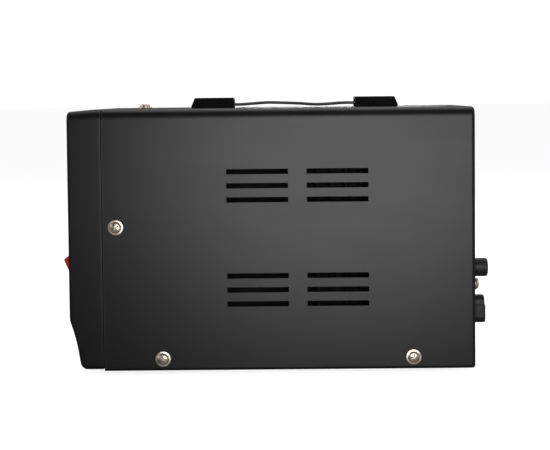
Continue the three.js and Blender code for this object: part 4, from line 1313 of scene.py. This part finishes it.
GUARD_Y = PANEL_FACE + 0.3 + 0.8
rings = [even_shading(wire_ring(f"guard_ring_{radius}", radius, 0.75, GUARD_Y))
         for radius in (26.5, 19.5, 12.5, 5.5)]
guard = join("finger_guard", *rings)
round_wire = [(0.7 * math.cos(a), 0.7 * math.sin(a)) for a in (math.radians(30 * i) for i in range(12))]
spoke = loft("spoke", [[(x, y, z) for y, z in round_wire] for x in (5.2, 31.6)], caps=True, place=False)
right_way_out(spoke)
array(guard, even_shading(spoke), 4, (FAN["x"], GUARD_Y - 0.75, FAN["z"]), "nickel", twist=90,
      turn=(-math.pi / 2, math.pi / 4, 0))
EYE = [(2.3, -0.6), (3.9, -0.6), (4.1, 0), (3.9, 0.6), (2.3, 0.6), (2.3, -0.6)]
eye = turned("eye", EYE, steps=24, place=False)
eye.data.transform(Matrix.Scale(MM, 4))
eye_spots = [((x, GUARD_Y, z), REARWARD, 0) for x, z in CORNERS]
eyes = copies("guard_eyes", even_shading(eye), eye_spots, "nickel")
settle(join("finger_guard_wire", guard, eyes), "case", "screw_nickel", "nickel", "fan_guard", edges=False)

FAN_SCREW = [(0, -14), (1.6, -14), (1.6, -0.1), (3.2, 0.0), (3.4, 0.2), (3.35, 0.9), (3.0, 1.6), (2.2, 2.0),
             (1.1, 2.15), (0, 2.2)]
fan_screw = cross_screw("fan_screw_model", FAN_SCREW, top=2.2, reach=1.7, width=0.5, depth=1.3)
fan_spots = [((x, PANEL_FACE + 2.0, z), REARWARD, 15 + 27 * i) for i, (x, z) in enumerate(CORNERS)]
settle(copies("fan_screws", fan_screw, fan_spots, "nickel"), "case", "screw_nickel", "nickel",
       *[f"fan_screw_{i}" for i in range(1, 5)], edges=False)

# %% [markdown]
# ## The front
#
# Behind the bezel's opening stands a flat grey panel: a smoked window over two rows of unlit digits, a key,
# two lamps, two knobs and the power rocker. The knobs take their ribs from the array tree; their pointer is
# a painted groove. The digits are seven pale bars each, leaning by eight degrees; they are unlit, so they
# stay dim behind the smoked window.

# %% Front panel and window
FRONT_FACE = 2.9
panel_low, panel_high = case_box("front_panel")
panel_plate = upright("panel_plate", (panel_low.x, FRONT_FACE, panel_low.z), panel_high, 2, 4)
window_low, window_high = case_box("display_window")
PLAY = 0.25                                     # mm of gap round the window
SWITCH = {"left": 36.2, "right": 56.8, "low": 45.9, "high": 76.1}
for name, left, right, low, high, radius in (
        ("window_hole", window_low.x - PLAY, window_high.x + PLAY,
         window_low.z - PLAY, window_high.z + PLAY, 2.2),
        ("switch_hole", SWITCH["left"], SWITCH["right"], SWITCH["low"], SWITCH["high"], 0.8),
        ("key_hole", -34.4, -21.6, 99.6, 108.4, 1.2)):
    cut(panel_plate, upright(name, (left, 0, low), (right, 8, high), radius, 5))
KNOB_X, KNOB_Z, LAMP_X, BUTTON_Z = (-44.0, -12.0), 72.0, (16.0, 34.0), 104.0
for x, radius, z in [(x, 4.0, KNOB_Z) for x in KNOB_X] + [(x, 2.05, BUTTON_Z) for x in LAMP_X]:
    drill(panel_plate, radius, x, z, 0, 8, 28)
soften(panel_plate, 0.25, segments=2, angle=50)
settle(even_shading(panel_plate), "case", "panel_plastic", "panel", "front_panel")

window = upright("smoked_window", window_low, window_high, 2, 6)
soften(window, 0.3, segments=3, angle=50)
settle(even_shading(window), "case", "window_smoke", "window", "display_window")

# %% Digit blocks behind the window


DIGIT_LEAN = math.tan(math.radians(8))
ROW = 6.3                                       # mm from the middle bar to the top and bottom bars
SIDE = 3.3                                      # mm from the middle to the upright bars
BARS = [(0, ROW, False), (0, 0, False), (0, -ROW, False), (-SIDE, ROW / 2, True), (SIDE, ROW / 2, True),
        (-SIDE, -ROW / 2, True), (SIDE, -ROW / 2, True)]
LONG, THICK = 2.55, 0.65                        # half a bar's length and width, mm
BAR = [(-LONG, 0), (-LONG + THICK, THICK), (LONG - THICK, THICK), (LONG, 0), (LONG - THICK, -THICK),
       (-LONG + THICK, -THICK)]


def digit_block(name, node):
    """Four digits in a filled block: seven bars and a point each, standing a hair proud of its face."""
    low, high = case_box(node)
    body = upright(f"{name}_body", low, high, 0.5, 3)
    even_shading(soften(body, 0.2, segments=2))
    bars = []
    middle = (low.z + high.z) / 2
    for digit in range(4):
        centre = low.x + (digit + 0.5) * (high.x - low.x) / 4
        for across, up, standing in BARS:
            shape = [(b, a) if standing else (a, b) for a, b in BAR]
            place = [(centre + across + a + (up + b) * DIGIT_LEAN, middle + up + b) for a, b in shape]
            bars.append(pressed("bar", place, low.y - 0.08, low.y + 0.1, "Y"))
        point = turned("point", [(0, 0), (0.8, 0), (0.8, 0.18), (0, 0.18)],
                       (centre + 5.0, low.y - 0.08, middle - ROW), REARWARD, steps=16)
        bars.append(point)
    segments = join(f"{name}_segments", *bars)
    settle(body, "case", "window_smoke", "digit_body", node)
    settle(segments, "case", "window_smoke", "digit_bar", edges=False)


digit_block("voltage_digits", "voltage_display")
digit_block("current_digits", "current_display")

# %% Knobs: a ribbed skirt, a dished face and a painted pointer
knob_low, knob_high = case_box("voltage_knob")
KNOB_REAR, KNOB_DEEP = knob_high.y, knob_high.y - knob_low.y
FORWARD = (0, -1, 0)


def knob(name, x):
    """Ribs stand round the skirt, and a groove for the pointer's paint is cut into the face."""
    face = [(9.0, 1.8), (8.6, 0.8), (7.9, 0.15), (7.3, 0), (6.4, 0.12), (5.8, 0.4), (0, 0.55)]
    profile = [(6.8, 0), (8.9, 0), (9.1, 0.25)] + [(radius, KNOB_DEEP - back) for radius, back in face]
    profile += [(0, 2.6), (6.8, 2.6), (6.8, 0)]
    body = turned(name, profile, (x, KNOB_REAR, KNOB_Z), FORWARD, steps=72)
    groove = block("groove", (x - 0.55, knob_low.y - 1, KNOB_Z + 2.6),
                   (x + 0.55, knob_low.y + 1.0, KNOB_Z + 10))
    cut(body, groove)
    even_shading(body, 30)
    rib = rounded_block("rib", (8.6, -0.42, 0.6), (9.46, 0.42, KNOB_DEEP - 2.1), 0.22)
    array(body, rib, 30, (x, KNOB_REAR, KNOB_Z), "knob", twist=12, turn=(math.pi / 2, math.radians(6), 0))
    return body


def pointer(name, x):
    """Paint in the knob's groove."""
    low, high = knob_low.y + 0.35, knob_low.y + 1.05
    paint = block(name, (x - 0.54, low, KNOB_Z + 2.62), (x + 0.54, high, KNOB_Z + 8.85))
    return even_shading(soften(paint, 0.1, segments=2))


for name, x in (("voltage", KNOB_X[0]), ("current", KNOB_X[1])):
    settle(knob(f"{name}_knob_cap", x), f"{name}_knob", "knob_plastic", "knob", f"{name}_knob")
    settle(pointer(f"{name}_pointer", x), f"{name}_knob", "knob_plastic", "white", edges=False)

# %% Printed marks: a scale of short strokes round each knob, and an arc between their ends
marks = []
for x in KNOB_X:
    arcs = []
    for radius in (11.4, 11.7):
        arcs.append([(x + radius * math.sin(math.radians(a)), KNOB_Z + radius * math.cos(math.radians(a)))
                     for a in range(-150, 151, 5)])
    inner, outer = arcs
    near, far = FRONT_FACE - 0.03, FRONT_FACE + 0.05
    band = loft("scale_arc", [[(a[0], near, a[1]), (b[0], near, b[1]), (b[0], far, b[1]), (a[0], far, a[1])]
                              for a, b in zip(outer, inner)], caps=True)
    right_way_out(band)
    stroke = block("stroke", (-0.16, 11.7, -0.03), (0.16, 13.4, 0.05), place=False)
    array(band, stroke, 11, (x, FRONT_FACE, KNOB_Z), "white", twist=30,
          turn=(math.pi / 2, math.radians(-150), 0))
    marks.append(band)
settle(join("printed_scales", *marks), "case", "panel_plastic", "white", edges=False)

# %% Output key and lamps
key_low = case_box("output_button")[0]
key = upright("output_key", (-34, key_low.y, 100), (-22, 8.9, 108), 1.0, 5)
soften(key, 0.5, segments=4, angle=50)
key_foot = soften(block("key_foot", (-35, 5.6, 99), (-21, 7.0, 109)), 0.2)
key_cap = join("output_key_cap", even_shading(key), even_shading(key_foot))
settle(key_cap, "output_button", "key_plastic", "key", "output_button")
for node, x, finish in (("voltage_lamp", LAMP_X[0], "lamp_green"), ("current_lamp", LAMP_X[1], "lamp_red")):
    low, high = case_box(node)
    deep = high.y - low.y
    bulb = turned(f"{node}_lens", [(0, 0), (2.2, 0), (2.3, 0.15), (2.3, 0.9), (1.75, 1.0), (1.7, deep - 1.6),
                                   (1.6, deep - 1.0), (1.25, deep - 0.45), (0.7, deep - 0.1), (0, deep)],
                  (x, high.y, BUTTON_Z), FORWARD)
    settle(even_shading(bulb, 30), "case", finish, finish, node)

# %% Output sockets, with their metal sleeves
SHROUD = [(5.2, -14), (5.2, -0.05), (6.7, 0.1), (6.9, 0.4), (6.9, 2.0), (6.6, 2.6), (5.9, 2.95), (4.9, 3.05),
          (3.2, 3.05), (2.75, 2.7), (2.6, 2.2), (2.6, -12), (4.2, -13.6), (5.2, -14)]
for pole, x, tone in zip(POLES, SOCKET_X, ("socket_red", "socket_green", "socket_black")):
    shroud = turned(f"output_{pole}_shroud", SHROUD, on_socket_axis(x, 0), SOCKET_OUT, steps=56)
    settle(even_shading(shroud, 34), "case", tone, tone, f"output_socket_{pole}")
SLEEVE = [(2.05, -11), (2.55, -11), (2.55, 1.6), (2.4, 1.8), (2.2, 1.8), (2.05, 1.6), (2.05, -11)]
sleeve = turned("sleeve", SLEEVE, steps=32, place=False)
sleeve_end = turned("sleeve_end", [(0, -11), (2.04, -11), (2.04, -10), (0, -10)], place=False)
sleeve = join("sleeve_model", even_shading(sleeve), even_shading(sleeve_end))
sleeve.data.transform(Matrix.Scale(MM, 4))
sleeve_spots = [(on_socket_axis(x, 0), SOCKET_OUT, 0) for x in SOCKET_X]
sleeves = copies("socket_sleeves", sleeve, sleeve_spots, "nickel")
settle(sleeves, "case", "chassis_zinc", "nickel", edges=False)

# %% [markdown]
# ### The power switch
#
# The rocker turns about a pivot just behind the panel. Its outline is two faces that meet in a shallow V,
# closed by arcs about the pivot, so that the gap to the housing stays the same as it tips. A soft bevel
# rounds the edges that a finger meets. A raised stroke and a ring tell on from off.

# %% Rocker and housing
ROCKER = {"x": 46.5, "z": 61.0, "y": 5.15, "half": 9.0, "radius": 13.9, "tip": 31.5, "base": 2.1,
          "dip": 4.79, "tilt": math.radians(11.8)}


def rocker_place(out, up):
    """A point given from the pivot, `out` towards the face and `up` along it, in the resting tilt."""
    y, z = -out, up
    return (ROCKER["y"] + y * math.cos(ROCKER["tilt"]) - z * math.sin(ROCKER["tilt"]),
            ROCKER["z"] + y * math.sin(ROCKER["tilt"]) + z * math.cos(ROCKER["tilt"]))


def rocker():
    angles = [math.radians(ROCKER["base"] + (ROCKER["tip"] - ROCKER["base"]) * i / 10) for i in range(11)]
    upper = [(ROCKER["radius"] * math.sin(a), ROCKER["radius"] * math.cos(a)) for a in angles]
    tip_out, tip_up = upper[-1]
    slope = (tip_out - ROCKER["dip"]) / tip_up
    heights = [0.93 * i for i in range(-12, 13)]
    valley = [(ROCKER["dip"] + slope * (math.sqrt(up * up + 1.0) - 0.9), up) for up in heights]
    outline = upper + list(reversed(valley)) + [(out, -up) for out, up in reversed(upper)]
    shape = [rocker_place(out, up) for out, up in outline]
    body = pressed("rocker", shape, ROCKER["x"] - ROCKER["half"], ROCKER["x"] + ROCKER["half"], "X")
    return even_shading(soften(body, 0.55, segments=4, angle=33), 40)


settle(rocker(), "power_rocker", "red_plastic", "red", "power_rocker")

# %% Marks on the rocker, and its housing
tip_angle = math.radians(ROCKER["tip"])
tip_out, tip_up = ROCKER["radius"] * math.sin(tip_angle), ROCKER["radius"] * math.cos(tip_angle)
face_slope = math.atan((tip_out - ROCKER["dip"]) / tip_up)


def on_rocker(model, up, sign):
    """Moves a mark drawn about the origin, facing +Z, onto one face of the rocker."""
    out = ROCKER["dip"] + (up - 0.9) * math.tan(face_slope) + 0.03
    y, z = rocker_place(out, sign * up)
    lean = sign * face_slope + ROCKER["tilt"]
    turn = Matrix.Rotation(math.pi / 2 + lean, 4, "X")
    model.data.transform(CASE @ Matrix.Translation((ROCKER["x"], y, z)) @ turn)
    return model


dash = rounded_block("dash", (-0.45, -2.1, -0.3), (0.45, 2.1, 0.12), 0.08)
CIRCLE = [(1.5, -0.3), (2.2, -0.3), (2.2, 0.05), (2.1, 0.12), (1.6, 0.12), (1.5, 0.05), (1.5, -0.3)]
circle = turned("circle", CIRCLE, steps=32, place=False)
MARK_UP = 7.0                                   # mm from the pivot to each mark, along the face
marks = [on_rocker(even_shading(dash), MARK_UP, -1), on_rocker(even_shading(circle), MARK_UP, 1)]
settle(join("rocker_marks", *marks), "power_rocker", "red_plastic", "white", edges=False)

housing = upright("switch_body", (34.0, 0.3, 44.5), (59.0, 2.6, 77.5), 1.4, 5)
soften(housing, 0.7, segments=4, angle=50)
switch_barrel = block("barrel", (SWITCH["left"], 1.5, SWITCH["low"]), (SWITCH["right"], 22, SWITCH["high"]))
combine(housing, switch_barrel, "UNION")
cut(housing, block("well", (37.2, -1, 46.8), (55.8, 12, 75.2)))
soften(housing, 0.2, segments=2, angle=60)
settle(even_shading(housing), "case", "bezel_plastic", "fitting", "power_switch_housing")

# %% [markdown]
# ## Underneath and inside
#
# Four rubber feet carry the case. The tray, boards and controls come over from the frame as they are:
# nobody handles them, but each still gets its own finish. What shows through the slots is worth more care,
# so the heatsink, transformer and capacitors are built properly; the heatsink's near-black finish also
# paints the shade inside the case.

# %% Feet
FOOT = [(0, 0.5), (1.9, 0.5), (2.4, 0), (5.0, 0), (5.6, 0.15), (6.1, 0.6), (6.45, 1.6)]
for node in ("foot_front_left", "foot_front_right", "foot_rear_left", "foot_rear_right"):
    low, high = case_box(node)
    middle, tall = (low + high) / 2, high.z - low.z
    sole = turned(f"{node}_rubber", FOOT + [(6.0, tall), (0, tall)], (middle.x, middle.y, low.z))
    settle(even_shading(sole, 40), "case", "foot_rubber", "foot", node)


# %% What comes over from the frame, each with its own finish
def dress(node, finish):
    """A CAD node keeps its shape and takes a finish."""
    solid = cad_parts[node]
    solid.data.materials.clear()
    solid.data.materials.append(FINISH[finish])


CARRIED = {
    "chassis_tray": "zinc", "display_board": "board", "main_board": "board", "voltage_control": "zinc",
    "current_control": "zinc", "voltage_shaft": "zinc", "current_shaft": "zinc", "fuse": "glass",
}
for node, finish in CARRIED.items():
    dress(node, finish)
print(len(CARRIED), "nodes carried over")

# %% Heatsink: a plate with ten fins
# The plate stands behind the slots; its near-black finish is painted shade for the inside of the case.
sink_low, sink_high = case_box("heatsink")
sink = block("sink_plate", (sink_low.x, sink_low.y, sink_low.z), (sink_low.x + 3, sink_high.y, sink_high.z))
even_shading(soften(sink, 0.3))
FINS, FIN_PITCH, FIN_THICK = 10, 9.5, 2
first_fin = (sink_low.x, sink_high.y - FIN_THICK - (FINS - 1) * FIN_PITCH, sink_low.z)
fin = rounded_block("fin", (2.9, 0, 0), (15, FIN_THICK, sink_high.z - sink_low.z), 0.35)
array(sink, fin, FINS, first_fin, "sink", step=(0, FIN_PITCH, 0))
settle(sink, "case", "sink_anodised", "sink", "heatsink")

# %% Transformer: a stack of laminations round a taped winding
core_low, core_high = case_box("transformer_core")
stack = block("core", core_low, core_high)
cut(stack, block("window", (-46, core_low.y - 1, core_low.z + 10), (-4, core_high.y + 1, core_high.z - 10)))
even_shading(soften(stack, 0.3))
sheet_mark = block("sheet_mark", (-0.25, -0.02, 0), (66.5, 0.22, 58.5), place=False)
array(stack, sheet_mark, 28, (core_low.x, core_low.y + 0.9, core_low.z - 0.25), "core", step=(0, 2.0, 0))
settle(stack, "case", "core_steel", "core", "transformer_core")
coil_low, coil_high = case_box("transformer_winding")
coil = soften(upright("coil", coil_low, coil_high, 5, 6), 2.5, segments=4, angle=50)
settle(even_shading(coil), "case", "winding_copper", "winding", "transformer_winding")

# %% Filter capacitors: a shrink sleeve over a can with a scored top
CAN_FOOT = [(0, 0), (11.8, 0), (12.3, 0.4), (12.4, 1.6), (11.9, 2.6), (12.4, 3.6)]
CAN_TOP = [(12.45, 1.4), (12.0, 0.4), (11.2, 0), (10.2, 0.1), (10.0, 0.5), (0, 0.55)]
for node in ("filter_capacitor_1", "filter_capacitor_2"):
    low, high = case_box(node)
    middle, tall = (low + high) / 2, high.z - low.z
    profile = CAN_FOOT + [(radius, tall - down) for radius, down in CAN_TOP]
    can = turned(f"{node}_can", profile, (middle.x, middle.y, low.z), steps=56)
    for angle in (0, 60, 120):
        score = block("score", (-8, -0.25, tall - 1), (8, 0.25, tall + 1), place=False)
        score.data.transform(CASE @ Matrix.Translation((middle.x, middle.y, low.z))
                             @ Matrix.Rotation(math.radians(angle), 4, "Z"))
        cut(can, score)
    settle(even_shading(can), "case", "sleeve_blue", "sleeve", node)

# %% [markdown]
# ## Stage
#
# A pale floor, a white surround and soft boxes. A round soft box stands close to the side, a little behind
# the case's middle, and its falling-off light draws the slow gradient across the satin paint: bright in the
# upper middle and the rear, dark towards the front and the bottom. A twin does the same for the far side.
# The floor glows only to the eye, so it looks white and yet throws little light up the case.

# %% Floor and light


def soft_box(name, place, aim, size, watts, spread=180, shape="RECTANGLE"):
    light = bpy.data.lights.new(name, "AREA")
    light.shape = shape
    light.size, light.size_y = size
    light.energy = watts
    light.spread = math.radians(spread)
    lamp = bpy.data.objects.new(name, light)
    bpy.context.scene.collection.objects.link(lamp)
    lamp.location = place
    lamp.rotation_euler = (Vector(aim) - Vector(place)).to_track_quat("-Z", "Y").to_euler()
    lamp.visible_camera = False
    return lamp


def floor():
    reach = 20
    corners = [(-reach, -reach, 0), (reach, -reach, 0), (reach, reach, 0), (-reach, reach, 0)]
    sheet = mesh_object("floor", corners, [(0, 1, 2, 3)], place=False)
    paper = Finish("floor_paper", (0.4, 0.4, 0.4), 0.9, specular=0.05)
    seen = paper.add("ShaderNodeLightPath").output("Is Camera Ray")
    paper.put("Emission Color", paper.mix(seen, (0, 0, 0), (1, 1, 1)))
    paper.put("Emission Strength", 0.84)
    fibre = paper.noise(0.004, detail=3)
    paper.put("Base Color", paper.mix(fibre, (0.38, 0.38, 0.38), (0.42, 0.42, 0.42)))
    sheet.data.materials.append(paper.material)
    return sheet


def surround():
    """White to the eye, softer as a light."""
    world = bpy.data.worlds.new("surround")
    bpy.context.scene.world = world
    world.use_nodes = True
    world.node_tree.nodes.clear()
    graph = Graph(world.node_tree)
    seen = graph.add("ShaderNodeLightPath").output("Is Camera Ray")
    glow = graph.add("ShaderNodeBackground", None, {"Color": (1, 1, 1, 1), "Strength": 0.3 + seen * 0.75})
    graph.add("ShaderNodeOutputWorld", None, {"Surface": glow})


floor()
surround()
bpy.context.scene.view_settings.view_transform = "Standard"
soft_box("key_box", (0.42, 0.062, 0.13), (0.0, 0.062, 0.13), (0.33, 0.26), 0.95, 100, "ELLIPSE")
soft_box("far_side_box", (-0.45, 0.05, 0.12), (0.0, 0.05, 0.12), (0.3, 0.2), 0.65, 100, "ELLIPSE")
soft_box("top_box", (-0.5, 0.2, 1.3), (0, 0, 0.05), (1.2, 1.2), 11)
soft_box("front_box", (0.2, -1.4, 0.6), (0, 0, 0.08), (0.7, 0.7), 7)
soft_box("rear_box", (-0.2, 1.5, 0.6), (0, 0, 0.08), (0.7, 0.7), 6)
soft_box("left_box", (-1.1, -0.9, 0.9), (0, 0, 0.08), (0.7, 0.7), 4)
